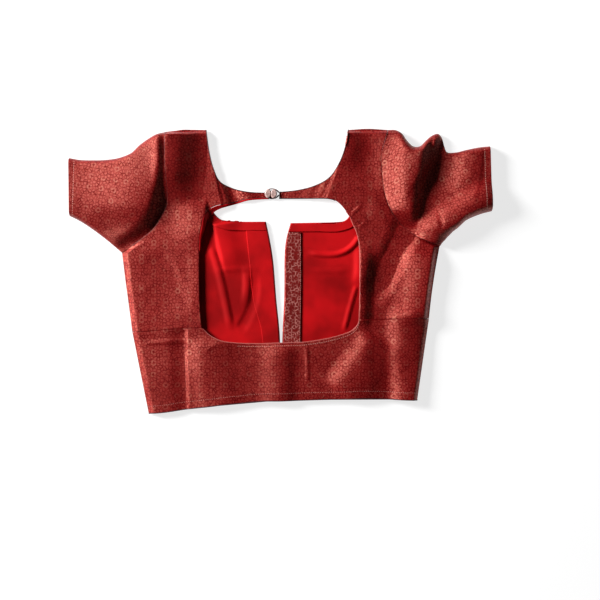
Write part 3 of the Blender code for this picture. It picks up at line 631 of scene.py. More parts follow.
def back_relief(x: np.ndarray, y: np.ndarray) -> np.ndarray:
    """Height of the back off what it lies on; its hollows don't reach through the lining."""
    height = LOFT + cloth_relief(BACK_FOLDS, x, y)
    return np.where(height > LOFT_LEAST, height, LOFT_LEAST + HOLLOW_SHARE * (height - LOFT_LEAST))


def from_shoulder(panel: Panel, x: np.ndarray, y: np.ndarray) -> np.ndarray:
    """How far a back half has risen at each point: 0 on its shoulder line, 1 past the seam's roll."""
    ends = [np.array([rib.outer_x, rib.outer_y]) for rib in panel.ribs if rib.edge == "shoulder"]
    return ease(panel.from_rib(ends[0], ends[-1], x, y) / SHOULDER_FALL)


class Shade:
    """A shader number that turns Python arithmetic into Math nodes."""

    def __init__(self, tree: "Tree", socket: bpy.types.NodeSocket) -> None:
        """Wrap a socket of the tree."""
        self.tree = tree
        self.socket = socket

    def math(self, operation: str, *others: Union["Shade", float], first: Optional[float] = None) -> "Shade":
        """One Math node on this number.

        Args:
            operation: The Math node's operation.
            others: Its further inputs.
            first: A plain number that comes before this one, for the reflected forms.

        Returns:
            The node's result.
        """
        inputs = [self, *others] if first is None else [first, self]
        return self.tree.shade("ShaderNodeMath", {"operation": operation}, dict(enumerate(inputs)))

    def __add__(self, other: Union["Shade", float]) -> "Shade":
        """Sum."""
        return self.math("ADD", other)

    def __radd__(self, other: float) -> "Shade":
        """Sum with a plain number first."""
        return self.math("ADD", first=other)

    def __sub__(self, other: Union["Shade", float]) -> "Shade":
        """Difference."""
        return self.math("SUBTRACT", other)

    def __rsub__(self, other: float) -> "Shade":
        """Difference from a plain number."""
        return self.math("SUBTRACT", first=other)

    def __mul__(self, other: Union["Shade", float]) -> "Shade":
        """Product."""
        return self.math("MULTIPLY", other)

    def __rmul__(self, other: float) -> "Shade":
        """Product with a plain number first."""
        return self.math("MULTIPLY", first=other)

    def step(self, start: float, end: float, low: float = 0.0, high: float = 1.0) -> "Shade":
        """Smooth step from low at start to high at end, either way round."""
        return self.tree.shade("ShaderNodeMapRange", {"interpolation_type": "SMOOTHSTEP"}, {
            "Value": self, "From Min": start, "From Max": end, "To Min": low, "To Max": high})

    def wave(self, pitch: float) -> "Shade":
        """Sine from -1 to 1 with one wave in each pitch."""
        return (self * (2 * math.pi / pitch)).math("SINE")

    def band(self, middle: float, half: float) -> "Shade":
        """1 near a middle value, falling to 0 at half away from it."""
        return (self - middle).math("ABSOLUTE").step(half, half * 0.35)


class Tree:
    """The node tree of one finish, or of the studio's world."""

    def __init__(self, name: str, world: bool = False) -> None:
        """Start an empty tree with an output.

        Args:
            name: Name of the material or world.
            world: Whether it is a world.
        """
        self.owner = (bpy.data.worlds if world else bpy.data.materials).new(name)
        self.owner.use_nodes = True
        self.nodes, self.links = self.owner.node_tree.nodes, self.owner.node_tree.links
        self.nodes.clear()
        self.output = self.node("ShaderNodeOutputWorld" if world else "ShaderNodeOutputMaterial", {}, {})

    def node(self, kind: str, settings: dict, inputs: dict) -> bpy.types.Node:
        """Add one node.

        Args:
            kind: The node's type.
            settings: Its properties, set before its inputs.
            inputs: Values, shades or sockets for its sockets, by name or number.

        Returns:
            The node.
        """
        made = self.nodes.new(kind)
        for name, value in settings.items():
            setattr(made, name, value)
        for name, value in inputs.items():
            socket = made.inputs[name]
            if isinstance(value, Shade):
                value = value.socket
            if isinstance(value, bpy.types.NodeSocket):
                self.links.new(value, socket)
            else:
                socket.default_value = value
        return made

    def shade(self, kind: str, settings: dict, inputs: dict) -> Shade:
        """Add one node and wrap its first output as a number."""
        return Shade(self, self.node(kind, settings, inputs).outputs[0])

    def parts(self, vector: bpy.types.NodeSocket) -> tuple:
        """The three numbers of a vector."""
        split = self.node("ShaderNodeSeparateXYZ", {}, {0: vector})
        return tuple(Shade(self, socket) for socket in split.outputs)

    def place(self, kind: str = "Object") -> bpy.types.NodeSocket:
        """The place in the object, or another of the texture coordinates."""
        return self.node("ShaderNodeTexCoord", {}, {}).outputs[kind]

    def bump(self, strength: float, distance: float, height: Shade) -> bpy.types.NodeSocket:
        """Normals of a fine relief."""
        return self.node("ShaderNodeBump", {}, {
            "Strength": strength, "Distance": distance, "Height": height}).outputs[0]

    def mix(self, factor: Union[Shade, float], under: tuple, over: tuple) -> bpy.types.NodeSocket:
        """Mix two colours, each four numbers or a colour socket."""
        made = self.node("ShaderNodeMix", {"data_type": "RGBA"}, {"Factor": factor, 6: under, 7: over})
        return made.outputs[2]

    def noise(self, place: bpy.types.NodeSocket, scale: float, detail: float = 2.0) -> Shade:
        """Soft noise from 0 to 1 at a place."""
        return self.shade("ShaderNodeTexNoise", {}, {"Vector": place, "Scale": scale, "Detail": detail})

    def cloth_place(self) -> tuple:
        """The place on the cloth as a vector and as two numbers, across and along."""
        vector = self.node("ShaderNodeUVMap", {"uv_map": CLOTH_MAP}, {}).outputs[0]
        return (vector, *self.parts(vector)[:2])

    def coat(self, inputs: dict) -> bpy.types.NodeSocket:
        """One Principled shader."""
        return self.node("ShaderNodeBsdfPrincipled", {}, inputs).outputs[0]

    def close(self, shader: bpy.types.NodeSocket) -> Union[bpy.types.Material, bpy.types.World]:
        """Link a shader to the output."""
        self.links.new(shader, self.output.inputs[0])
        return self.owner

    def finish(self, inputs: dict, over: Optional[dict] = None,
               cover: Optional[Shade] = None) -> bpy.types.Material:
        """Close the tree.

        Args:
            inputs: Inputs of the ground's shader.
            over: Inputs of a second shader that lies over the ground.
            cover: How far it covers the ground.

        Returns:
            The material.
        """
        shader = self.coat(inputs)
        if over is not None:
            both = {0: cover, 1: shader, 2: self.coat(over)}
            shader = self.node("ShaderNodeMixShader", {}, both).outputs[0]
        return self.close(shader)


class Weave(Enum):
    """Which of the saree's two figured grounds a piece is cut from."""

    FIELD = "field"
    BORDER = "border"


def rgba(red: float, green: float, blue: float) -> tuple:
    """A colour as the four numbers that a socket takes."""
    return (red, green, blue, 1.0)


@dataclass(frozen=True)
class Brocade:
    """Red silk figured with copper-gold thread: dark-eyed dots in rows, with rings or ovals between."""

    weave: Weave
    silk: tuple = rgba(0.41, 0.003, 0.006)
    silk_warm: tuple = rgba(0.48, 0.006, 0.009)
    gold: tuple = rgba(0.270, 0.100, 0.074)
    gold_pale: tuple = rgba(0.280, 0.120, 0.088)
    shadow: tuple = rgba(0.075, 0.002, 0.003)
    sheen: tuple = rgba(1.0, 0.10, 0.08)
    outline: tuple = rgba(0.30, 0.13, 0.085)
    figured: tuple = rgba(0.60, 0.22, 0.19)
    figured_weight: float = 0.0
    field_cell: tuple = (0.0168, 0.0205)
    border_cell: tuple = (0.0168, 0.0152)
    ring: float = 0.0029
    ring_weight: float = 0.7
    loop_offset: float = 0.0034
    field_dot: float = 0.0022
    border_dot: float = 0.0026
    field_cover: float = 0.46
    border_cover: float = 0.52
    net: float = 0.0044
    net_weight: float = 1.0
    net_line: tuple = (0.23, 0.10)
    sway: float = 0.0042
    thread: float = 0.0007
    relief: float = 0.000072

    @staticmethod
    def nearest(across: Shade, along: Shade, pitch: tuple, shift: float = 0.0) -> tuple:
        """Way to the nearest point of a square grid, in metres.

        Args:
            across: Place across the cloth.
            along: Place along the cloth.
            pitch: The grid's spacing each way.
            shift: Share of the pitch by which the grid is moved both ways.

        Returns:
            The distance across and the distance along.
        """
        return tuple(((value * (1.0 / size) + shift).math("FRACT") - 0.5) * size
                     for value, size in ((across, pitch[0]), (along, pitch[1])))

    @staticmethod
    def length(first: Shade, second: Shade) -> Shade:
        """Length of a vector of two numbers."""
        return (first * first + second * second).math("SQRT")

    def dots(self, across: Shade, along: Shade, cell: tuple, columns: int, rows: int) -> Shade:
        """Distance to the nearest dot of the half-drop rows that fill each cell.

        Args:
            across: Place across the cloth.
            along: Place along the cloth.
            cell: Size of the figure's repeat.
            columns: How many dots a row of the repeat holds.
            rows: How many rows it holds.

        Returns:
            The distance, in metres.
        """
        pitch = (cell[0] / columns, cell[1] / rows)
        centred = [self.nearest(across + pitch[0] / 2 * turn, along + pitch[1] / 2 * turn, pitch)
                   for turn in (rows % 2, 1 + rows % 2)]
        return self.length(*centred[0]).math("MINIMUM", self.length(*centred[1]))

    def figure(self, across: Shade, along: Shade) -> tuple:
        """The weave's figure.

        Args:
            across: Place across the cloth.
            along: Place along the cloth.

        Returns:
            How far gold thread and how far shadow cover the silk.
        """
        if self.weave is Weave.BORDER:
            dots = self.dots(across, along, self.border_cell, 2, 2)
            far = self.length(*self.nearest(across, along, self.border_cell))
        else:
            dots = self.dots(across, along, self.field_cell, 3, 3)
            dx, dy = self.nearest(across, along, self.field_cell)
            far = self.length(dx, dy.math("ABSOLUTE") - self.loop_offset)
        ring = far.band(self.ring, self.ring * 0.45)
        eye = far.step(self.ring * 0.66, self.ring * 0.30)
        gap = far.band(self.ring * 1.62, self.ring * 0.36)
        outside = far.step(self.ring * 1.30, self.ring * 1.75)
        size = self.border_dot if self.weave is Weave.BORDER else self.field_dot
        spots = dots.step(size, size * 0.5) * outside
        return ring * self.ring_weight, eye.math("MAXIMUM", spots * 0.6).math("MAXIMUM", gap * 0.5)

    def make(self) -> bpy.types.Material:
        """Build the material.

        Returns:
            The material.
        """
        tree = Tree("brocade_" + self.weave.value)
        place, across, along = tree.cloth_place()
        sway = tree.noise(place, 60.0) - 0.5
        drift = tree.noise(place, 35.0) - 0.5
        gold, dark = self.figure(across + sway * self.sway, along + drift * self.sway)
        gold = gold * tree.noise(place, 75.0, 2.0).step(0.40, 0.60)
        worn = tree.noise(place, 150.0, 2.0).step(0.36, 0.62)
        dark = dark * (worn * 0.4 + 0.6)
        net = tree.shade("ShaderNodeTexVoronoi", {
            "voronoi_dimensions": "2D", "feature": "DISTANCE_TO_EDGE"}, {
            "Vector": place, "Scale": 1.0 / self.net, "Randomness": 0.9}).step(*self.net_line)
        net = net * (1.0 - gold) * (worn * 0.35 + 0.65)
        dark = dark.math("MAXIMUM", net * self.net_weight)
        grain = tree.noise(place, 900.0, 2.0).step(0.25, 0.75)
        tone = tree.noise(place, 14.0, 1.0).step(0.38, 0.64)
        ground = (grain * 0.4 + 0.8) * (self.field_cover if self.weave is Weave.FIELD else self.border_cover)
        cover = (gold * (1.0 - ground) * (grain * 0.4 + 0.4) + ground) * (1.0 - dark * 0.94)
        silk = tree.mix(tone, self.silk, self.silk_warm)
        silk = tree.mix(net * worn * self.figured_weight, silk, self.figured)
        silk = tree.mix(dark * 0.90, silk, self.shadow)
        weft, warp = across.wave(self.thread), along.wave(self.thread)
        bump = tree.bump(1.0, self.relief, weft * 0.5 + warp * 0.5 + cover * 0.8)
        return tree.finish({
            "Base Color": silk,
            "Roughness": grain * 0.08 + 0.42,
            "Normal": bump,
            "Specular IOR Level": 0.35,
            "Specular Tint": self.sheen,
        }, {
            "Base Color": tree.mix(gold * 0.7, tree.mix(tone, self.gold, self.gold_pale), self.outline),
            "Metallic": 1.0,
            "Roughness": grain * 0.06 + 0.33,
            "Normal": bump,
        }, cover)


@dataclass(frozen=True)
class Lining:
    """Bright red satin-faced lining cloth."""

    red: tuple = rgba(0.62, 0.0034, 0.0068)
    deep: tuple = rgba(0.29, 0.0008, 0.0025)
    sheen: tuple = rgba(1.0, 0.20, 0.18)
    thread: float = 0.0006
    relief: float = 0.000072

    def make(self) -> bpy.types.Material:
        """Build the material.

        Returns:
            The material.
        """
        tree = Tree("red_lining")
        place, across, along = tree.cloth_place()
        tone = tree.noise(place, 13.0, 3.0).step(0.32, 0.66)
        slub = tree.noise(place, 300.0, 3.0)
        weave = along.wave(self.thread) * across.wave(self.thread)
        return tree.finish({
            "Base Color": tree.mix(tone, self.red, self.deep),
            "Metallic": 0.14,
            "Roughness": slub * 0.10 + 0.54,
            "Normal": tree.bump(0.35, self.relief, weave * 0.4 + slub * 0.6),
            "Specular Tint": self.sheen,
        })


@dataclass(frozen=True)
class Pearl:
    """Milky pearl of the button, with a faint pink and grey cloud."""

    milk: tuple = rgba(0.60, 0.40, 0.36)
    cloud: tuple = rgba(0.36, 0.22, 0.20)

    def make(self) -> bpy.types.Material:
        """Build the material.

        Returns:
            The material.
        """
        tree = Tree("pearl")
        place = tree.place()
        cloud = tree.noise(place, 260.0, 3.0).step(0.42, 0.66)
        layers = tree.noise(place, 900.0, 2.0)
        return tree.finish({
            "Base Color": tree.mix(cloud, self.milk, self.cloud),
            "Roughness": layers * 0.2 + 0.30,
            "Normal": tree.bump(0.3, 0.0002, layers),
            "Coat Weight": 0.25,
            "Coat Roughness": 0.08,
        })


@dataclass(frozen=True)
class Thread:
    """Sewing thread, twisted, drawn darker in the grooves of its twist as painted shade."""

    name: str
    colour: tuple
    sheen: float = 0.2
    twist: float = 0.0009

    def make(self) -> bpy.types.Material:
        """Build the material.

        Returns:
            The material.
        """
        tree = Tree(self.name)
        x, y = tree.parts(tree.place())[:2]
        ply = (x + y).wave(self.twist) * 0.5 + 0.5
        # Painted shade: the colour darkens where the twist's relief is low, in the grooves between the
        # plies.
        groove_shade = tuple(part * 0.6 for part in self.colour[:3])
        return tree.finish({
            "Base Color": tree.mix(ply, rgba(*groove_shade), self.colour),
            "Roughness": ply * 0.15 + 0.45,
            "Normal": tree.bump(0.4, 0.0001, ply),
            "Sheen Weight": self.sheen,
        })


@dataclass(frozen=True)
class Paper:
    """Matt white floor."""

    white: tuple = rgba(0.34, 0.34, 0.34)
    glow: float = 0.77

    def make(self) -> bpy.types.Material:
        """Build the material.

        Returns:
            The material.
        """
        tree = Tree("white_floor")
        place = tree.place()
        grain = tree.noise(place, 40.0, 3.0)
        return tree.finish({
            "Base Color": self.white,
            "Roughness": grain * 0.1 + 0.75,
            "Emission Color": rgba(1.0, 1.0, 1.0),
            "Emission Strength": self.glow,
        })


def frame_shift() -> Vector:
    """How far the tables' origin lies from the frame's, in metres, read from the button's node."""
    low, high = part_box("button")
    return Vector(((low.x + high.x) / 2 - BUTTON_AT[0] * MM, (low.y + high.y) / 2 - BUTTON_AT[1] * MM, 0.0))


SHIFT = frame_shift()


def to_frame(points: np.ndarray) -> np.ndarray:
    """Points of the tables, in millimetres, as points of the frame in metres."""
    return points * MM + np.array(SHIFT)


def to_data(mesh: bmesh.types.BMesh, name: str) -> bpy.types.Mesh:
    """Turn a finished bmesh into a named mesh and free it.

    Args:
        mesh: The bmesh.
        name: Name of the mesh.

    Returns:
        The mesh.
    """
    data = bpy.data.meshes.new(name)
    mesh.to_mesh(data)
    mesh.free()
    return data


def face_outwards(mesh: bmesh.types.BMesh) -> None:
    """Turn the faces of closed shells outwards, judged by the lowest face.

    Args:
        mesh: The shells, changed in place.
    """
    bmesh.ops.recalc_face_normals(mesh, faces=mesh.faces)
    lowest = min(mesh.faces, key=lambda face: face.calc_center_median().z)
    if lowest.normal.z > 0.0:
        bmesh.ops.reverse_faces(mesh, faces=mesh.faces)


def read_points(data: bpy.types.Mesh) -> np.ndarray:
    """Read a mesh's points.

    Args:
        data: The mesh.

    Returns:
        The points, one a row.
    """
    points = np.empty(len(data.vertices) * 3, np.float32)
    data.vertices.foreach_get("co", points)
    return points.reshape(-1, 3)


def read_corners(data: bpy.types.Mesh) -> np.ndarray:
    """Read which point is at each corner of a mesh's faces.

    Args:
        data: The mesh.

    Returns:
        The points' numbers.
    """
    corners = np.empty(len(data.loops), np.int32)
    data.loops.foreach_get("vertex_index", corners)
    return corners


def cloth_grid(name: str, rows: int, columns: int) -> tuple:
    """A grid mesh with the cloth's map.

    Args:
        name: Name of the mesh.
        rows: Cells along.
        columns: Cells across.

    Returns:
        The mesh, and each point's row and column.
    """
    mesh = bmesh.new()
    mesh.loops.layers.uv.new(CLOTH_MAP)
    bmesh.ops.create_grid(mesh, x_segments=columns, y_segments=rows, size=0.5)
    data = to_data(mesh, name)
    flat = read_points(data)
    column = np.rint((flat[:, 0] + 0.5) * columns).astype(int)
    row = np.rint((flat[:, 1] + 0.5) * rows).astype(int)
    return data, row, column


def set_points(data: bpy.types.Mesh, points: np.ndarray, cloth: np.ndarray) -> None:
    """Move a grid's points into place and fill its cloth map.

    Args:
        data: The mesh.
        points: Its points, in the tables' millimetres.
        cloth: Each point's place on the cloth, in millimetres.
    """
    data.vertices.foreach_set("co", to_frame(points).astype(np.float32).ravel())
    places = cloth[read_corners(data)] * MM
    data.uv_layers[CLOTH_MAP].data.foreach_set("uv", places.astype(np.float32).ravel())
    data.update()
    highest = max(data.polygons, key=lambda face: face.center.z)
    if highest.normal.z < 0:
        data.flip_normals()


def plan_area(data: bpy.types.Mesh) -> float:
    """Area of a sheet as it lies, seen from above.

    Args:
        data: The sheet's mesh of quads.

    Returns:
        The area, in square metres.
    """
    quads = read_points(data)[read_corners(data)].reshape(-1, 4, 3)
    first, second = quads[:, 2] - quads[:, 0], quads[:, 3] - quads[:, 1]
    return float(np.abs(first[:, 0] * second[:, 1] - first[:, 1] * second[:, 0]).sum() / 2)


def dress(name: str, data: bpy.types.Mesh, material: bpy.types.Material, nodes: Sequence[str] = (),
          wall: float = 0.0) -> bpy.types.Object:
    """Make a piece of a finished mesh and set it on the blouse.

    Args:
        name: Name of the piece.
        data: Its mesh, in the frame.
        material: Its finish.
        nodes: CAD nodes that it stands for.
        wall: Thickness of its cloth in millimetres, inwards from the mesh, or 0 for a closed mesh.

    Returns:
        The piece.
    """
    data.materials.clear()
    data.materials.append(material)
    data.polygons.foreach_set("use_smooth", [True] * len(data.polygons))
    piece = bpy.data.objects.new(name, data)
    bpy.context.scene.collection.objects.link(piece)
    if wall:
        solid = piece.modifiers.new("wall", "SOLIDIFY")
        solid.thickness = wall * MM
        solid.offset = -1.0
        solid.use_rim = True
    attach(piece, BODY)
    if nodes:
        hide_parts(*nodes)
    return piece


@dataclass(frozen=True)
class Stitches:
    """A row of sewing stitches, in millimetres."""

    pitch: float = 3.1
    long: float = 2.2
    wide: float = 0.85
    high: float = 0.6

    def row(self, name: str, path: np.ndarray, material: bpy.types.Material) -> bpy.types.Object:
        """Sew a row along a path.

        Args:
            name: Name of the piece.
            path: Points on the cloth, in the tables' millimetres.
            material: The thread's finish.

        Returns:
            The piece.
        """
        run = np.concatenate([[0.0], np.cumsum(np.linalg.norm(np.diff(path, axis=0), axis=1))])
        at = np.arange(self.pitch / 2, run[-1], self.pitch)
        middles = np.stack([np.interp(at, run, path[:, axis]) for axis in range(3)], axis=1)
        size = Matrix.Diagonal((self.long * MM, self.wide * MM, self.high * MM, 1.0))
        mesh = bmesh.new()
        for middle, way in zip(to_frame(middles), np.gradient(middles, axis=0)):
            turn = Vector(way).to_track_quat("X", "Z").to_matrix().to_4x4()
            bmesh.ops.create_uvsphere(mesh, u_segments=8, v_segments=6, radius=0.5,
                                      matrix=Matrix.Translation(middle) @ turn @ size)
        return dress(name, to_data(mesh, name), material)


@dataclass(frozen=True)
class Cord:
    """A fine round cord along an edge. Besides sewn cords it draws the near-black lines of painted shade at
    the hem and the armhole seams and the painted highlight of the window's edges.
    """

    radius: float = 0.5

    def lay(self, name: str, path: np.ndarray, material: bpy.types.Material) -> bpy.types.Object:
        """Lay the cord along a path.

        Args:
            name: Name of the piece.
            path: Points of its middle line, in the tables' millimetres.
            material: Its finish.

        Returns:
            The piece.
        """
        curve = bpy.data.curves.new(name, "CURVE")
        curve.dimensions, curve.use_fill_caps = "3D", True
        curve.bevel_depth, curve.bevel_resolution = self.radius * MM, 2
        line = curve.splines.new("POLY")
        line.points.add(len(path) - 1)
        for point, at in zip(line.points, to_frame(path)):
            point.co = (*at, 1.0)
        maker = bpy.data.objects.new(name, curve)
        data = bpy.data.meshes.new_from_object(maker)
        bpy.data.objects.remove(maker)
        bpy.data.curves.remove(curve)
        return dress(name, data, material)


@dataclass
class Wall:
    """A cloth piece drawn over a pattern piece, its edges turned."""

    name: str
    panel: Panel
    top: Callable[[Spread], np.ndarray]
    material: bpy.types.Material
    slot: str
    node: str
    rests_on: tuple = ()
    thickness: float = CLOTH
    cell: float = FINE_CELL
    insets: tuple = (0.0, 0.0)
    trims: tuple = (0.0, 0.0)
    sewn: list = field(default_factory=list)
    piece: Optional[bpy.types.Object] = None

    def heights(self, spread: Spread) -> np.ndarray:
        """Height of the top surface, rolled down at every edge."""
        nearest = np.minimum(np.minimum(spread.from_inner, spread.from_outer),
                             np.minimum(spread.from_first, spread.from_last))
        return self.top(spread) - edge_roll(nearest)

    def path(self, places: np.ndarray, from_inner: Union[float, np.ndarray]) -> np.ndarray:
        """Points on the top surface at a distance from the inner edge, in the tables' millimetres."""
        spread = self.panel.lay(places, np.broadcast_to(from_inner, places.shape), self.insets)
        return np.stack([spread.x, spread.y, self.heights(spread)], axis=1)

    def from_edge(self, places: np.ndarray, distance: float) -> np.ndarray:
        """Points on the top surface at a distance from the outer edge."""
        return self.path(places, self.panel.lengths(places) - sum(self.insets) - distance)

    def build(self) -> None:
        """Build the sheet and give it its wall."""
        places = self.panel.stations(self.cell, self.trims[0], self.panel.rows - self.trims[1])
        width = max(self.panel.lengths(places)) - sum(self.insets)
        columns = max(2 * len(EDGE_STEPS), math.ceil(width / self.cell) + 2 * len(EDGE_STEPS) - 4)
        data, row, column = cloth_grid(self.name, len(places) - 1, columns)
        across = self.panel.across(places, columns, row, column, self.insets)
        spread = self.panel.lay(places[row], across, self.insets, (places[0], places[-1]))
        points = np.stack([spread.x, spread.y, self.heights(spread)], axis=1)
        set_points(data, points, points[:, :2])
        self.piece = dress(self.name, data, self.material, (self.node,), self.thickness)

    def declare(self) -> None:
        data = self.piece.data
        places = self.panel.stations(self.cell, self.trims[0], self.panel.rows - self.trims[1])
        area, size = plan_area(data), np.ptp(read_points(data)[:, :2].astype(float), axis=0)
        if area < LEAST_FILL * size[0] * size[1]:
            size = np.array([self.run(places), max(LEAST_FLAT, self.panel.lengths(places).max() * MM)])

    def run(self, places: np.ndarray) -> float:
        """Length of the piece along its middle, in metres."""
        middle = (self.panel.edge("inner", places) + self.panel.edge("outer", places)) / 2
        return float(np.linalg.norm(np.diff(middle, axis=0), axis=1).sum()) * MM


# Height of the back's under skin at its inner and outer edge, by the kind of the outer edge, and the
# share of its folds that stays at the outer edge.
INNER_LEVELS = {"side": BACK_LEVEL, "armhole": BACK_LEVEL, "shoulder": BACK_LEVEL, "neck": BACK_LEVEL,
                "slope": 3.6, "rise": 2.7, "lift": 1.6, "band": BAND_LEVEL}
OUTER_LEVELS = INNER_LEVELS | {"side": LINING_LEVEL}
FREEDOM = {"side": 1.0, "armhole": 1.0, "shoulder": 1.0, "neck": 1.0, "slope": 0.6, "rise": 0.25,
           "lift": 0.0, "band": 0.0}
OUTER_FREEDOM = FREEDOM | {"side": 0.0}


@dataclass
class Finishes:
    """The materials that the pieces share."""

    field: bpy.types.Material
    border: bpy.types.Material
    strip: bpy.types.Material
    lining: bpy.types.Material
    pearl: bpy.types.Material
    pale_thread: bpy.types.Material
    dark_thread: bpy.types.Material
    piping: bpy.types.Material


@dataclass
class Back:
    """The two upper back halves, the lower back, and the facing, pale red cord and sewing of the window; the
    cord lies only on the window's lit edges, so it also paints their highlight.
    """

    finishes: Finishes
    left: Panel = field(default_factory=lambda: Panel(BACK_LEFT))
    right: Panel = field(default_factory=lambda: Panel(BACK_RIGHT))
    waist: Panel = field(default_factory=lambda: Panel(BACK_WAIST))
    piping_radius: float = 0.55
    edge_radius: float = 0.75
    seam_radius: float = 0.42
    piping_out: float = 0.2
    edge_out: float = 0.1
    seam_out: float = 0.12
    stitches_in: float = 3.8
    hem_in: float = 10.0
    facing_step: float = 0.25
    facing_turn: float = 1.6
    facing_turn_wide: float = 6.0
    facing_rise: float = 3.0
    walls: dict = field(default_factory=dict)

    @staticmethod
    def upper_top(panel: Panel, at: Spread) -> np.ndarray:
        """Top surface of an upper back half.

        Args:
            panel: Its pattern piece.
            at: Points of it.

        Returns:
            The height at each point.
        """
        fall = 1.0 - ease(at.from_outer / EDGE_FALL)
        freedom = blend(panel.per_row(FREEDOM, at.place), panel.per_row(OUTER_FREEDOM, at.place), fall)
        level = blend(panel.per_row(INNER_LEVELS, at.place), panel.per_row(OUTER_LEVELS, at.place), fall)
        height = level + freedom * back_relief(at.x, at.y)
        return CLOTH + blend(np.minimum(level, LINING_LEVEL), height, from_shoulder(panel, at.x, at.y))

    def waist_top(self, at: Spread) -> np.ndarray:
        """Top surface of the lower back.

        Args:
            at: Points of it.

        Returns:
            The height at each point.
        """
        first, last = self.waist.ribs[0], self.waist.ribs[-1]
        share = (at.y - first.outer_y) / (first.inner_y - first.outer_y)
        left = blend(first.outer_x, first.inner_x, share)
        right = blend(last.outer_x, last.inner_x, share)
        fall = 1.0 - ease(np.minimum(at.x - left, right - at.x) / EDGE_FALL)
        return CLOTH + blend(BACK_LEVEL + back_relief(at.x, at.y), LINING_LEVEL, fall)

    def facing_top(self, start: float, at: Spread) -> np.ndarray:
        """Top surface of the rolled facing.

        Args:
            start: Where it starts, in rows of the left half's ribs.
            at: Points of it.

        Returns:
            The height at each point.
        """
        level = self.left.per_row(INNER_LEVELS, start + at.place * self.facing_step)
        lift = back_relief(at.x, at.y) * np.clip((level - BAND_LEVEL) / self.facing_rise, 0, 1)
        return level + STRIP_CLOTH + lift - self.facing_turn * ease(at.from_outer / self.facing_turn_wide)

    def rolled_facing(self) -> Wall:
        """The facing that rolls out inside the window's upper left edge.

        Returns:
            Its wall, not yet built.
        """
        at, widths = (np.array(values) for values in zip(*ROLLED_FACING))
        places = np.arange(at[0], at[-1] + 0.01, self.facing_step)
        width = np.interp(places, at, widths)
        edge = self.left.edge("inner", places)
        step = self.left.edge("inner", places + 0.1) - self.left.edge("inner", places - 0.1)
        away = np.stack([step[:, 1], -step[:, 0]], axis=1) / np.linalg.norm(step, axis=1)[:, None]
        near, far = edge + away * FACING_GAP, edge + away * (FACING_GAP + width)[:, None]
        ribs = [Rib("facing", *far[i], *near[i]) for i in range(len(places))]
        return Wall("window_facing_left_cloth", Panel(ribs), partial(self.facing_top, places[0]),
                    self.finishes.lining, "lining", "window_facing_left", ("back_left_cloth",), FACING_WALL)

    def build(self) -> None:
        """Build the back's cloth."""
        under = ("front_left_cloth", "front_right_cloth")
        for name, panel in (("back_left", self.left), ("back_right", self.right)):
            self.walls[name] = Wall(name + "_cloth", panel, partial(self.upper_top, panel),
                                    self.finishes.field, "brocade", name, under)
        self.walls["back_waist"] = Wall("back_waist_cloth", self.waist, self.waist_top, self.finishes.border,
                                        "brocade", "back_waist", under, insets=(SEAM_GAP, 0.0))
        self.walls["facing"] = self.rolled_facing()
        for wall in self.walls.values():
            wall.build()
        self.sew()
        for wall in self.walls.values():
            wall.declare()

    def sew(self) -> None:
        """Add the window's pale red cord, which also paints the highlight of its lit edges, the corded neck
        and band edges, the near-black lines of painted shade along the hem and the armhole seams, and the
        rows of stitches.
        """
        left, right, waist = (self.walls[name] for name in ("back_left", "back_right", "back_waist"))
        pale, dark, piping = self.finishes.pale_thread, self.finishes.dark_thread, self.finishes.piping
        cord, thin, fine = map(Cord, (self.piping_radius, self.edge_radius, self.seam_radius))
        window = np.linspace(3.2, 14.0, 150)
        side = np.linspace(0.0, 11.0, 110)
        armhole = np.linspace(3.0, 9.9, 200)
        hem = np.linspace(0.0, 17.0, 240)
        waist.sewn += [
            # Partly painted highlight: a real cord, but pale and laid only on the window's lit bottom and
            # right edges.
            cord.lay("window_piping_bottom", waist.path(window, -self.piping_out), piping),
            Stitches().row("window_stitches", waist.path(window[40:], self.stitches_in), pale),
            # Painted shade: a near-black cord along the hem stands for the shade of its turned edge.
            thin.lay("hem_cord", waist.from_edge(hem, -self.edge_out), dark),
            Stitches(long=1.8, wide=0.6).row("hem_stitches", waist.from_edge(hem, self.hem_in), pale)]
        right.sewn += [
            # Painted shade: a near-black cord along the armhole seam stands for the shade in the seam's
            # crease.
            fine.lay("armhole_seam_right", right.from_edge(armhole, -self.seam_out), dark),
            # Partly painted highlight: a real cord, but pale and laid only on the window's lit right edge.
            cord.lay("window_piping_right", right.path(side, -self.piping_out), piping),
            thin.lay("neck_cord_right", right.from_edge(np.linspace(13, 19, 110), 0.0), dark),
            thin.lay("band_cord_right", right.path(np.linspace(13.5, 19, 80), 0.0), dark)]
        left.sewn += [
            # Painted shade: a near-black cord along the armhole seam stands for the shade in the seam's
            # crease.
            fine.lay("armhole_seam_left", left.from_edge(armhole, -self.seam_out), dark),
            thin.lay("neck_cord_left", left.from_edge(np.linspace(12, 19, 110), 0.0), dark),
            thin.lay("band_cord_left", left.path(np.linspace(14, 19, 80), 0.0), dark)]


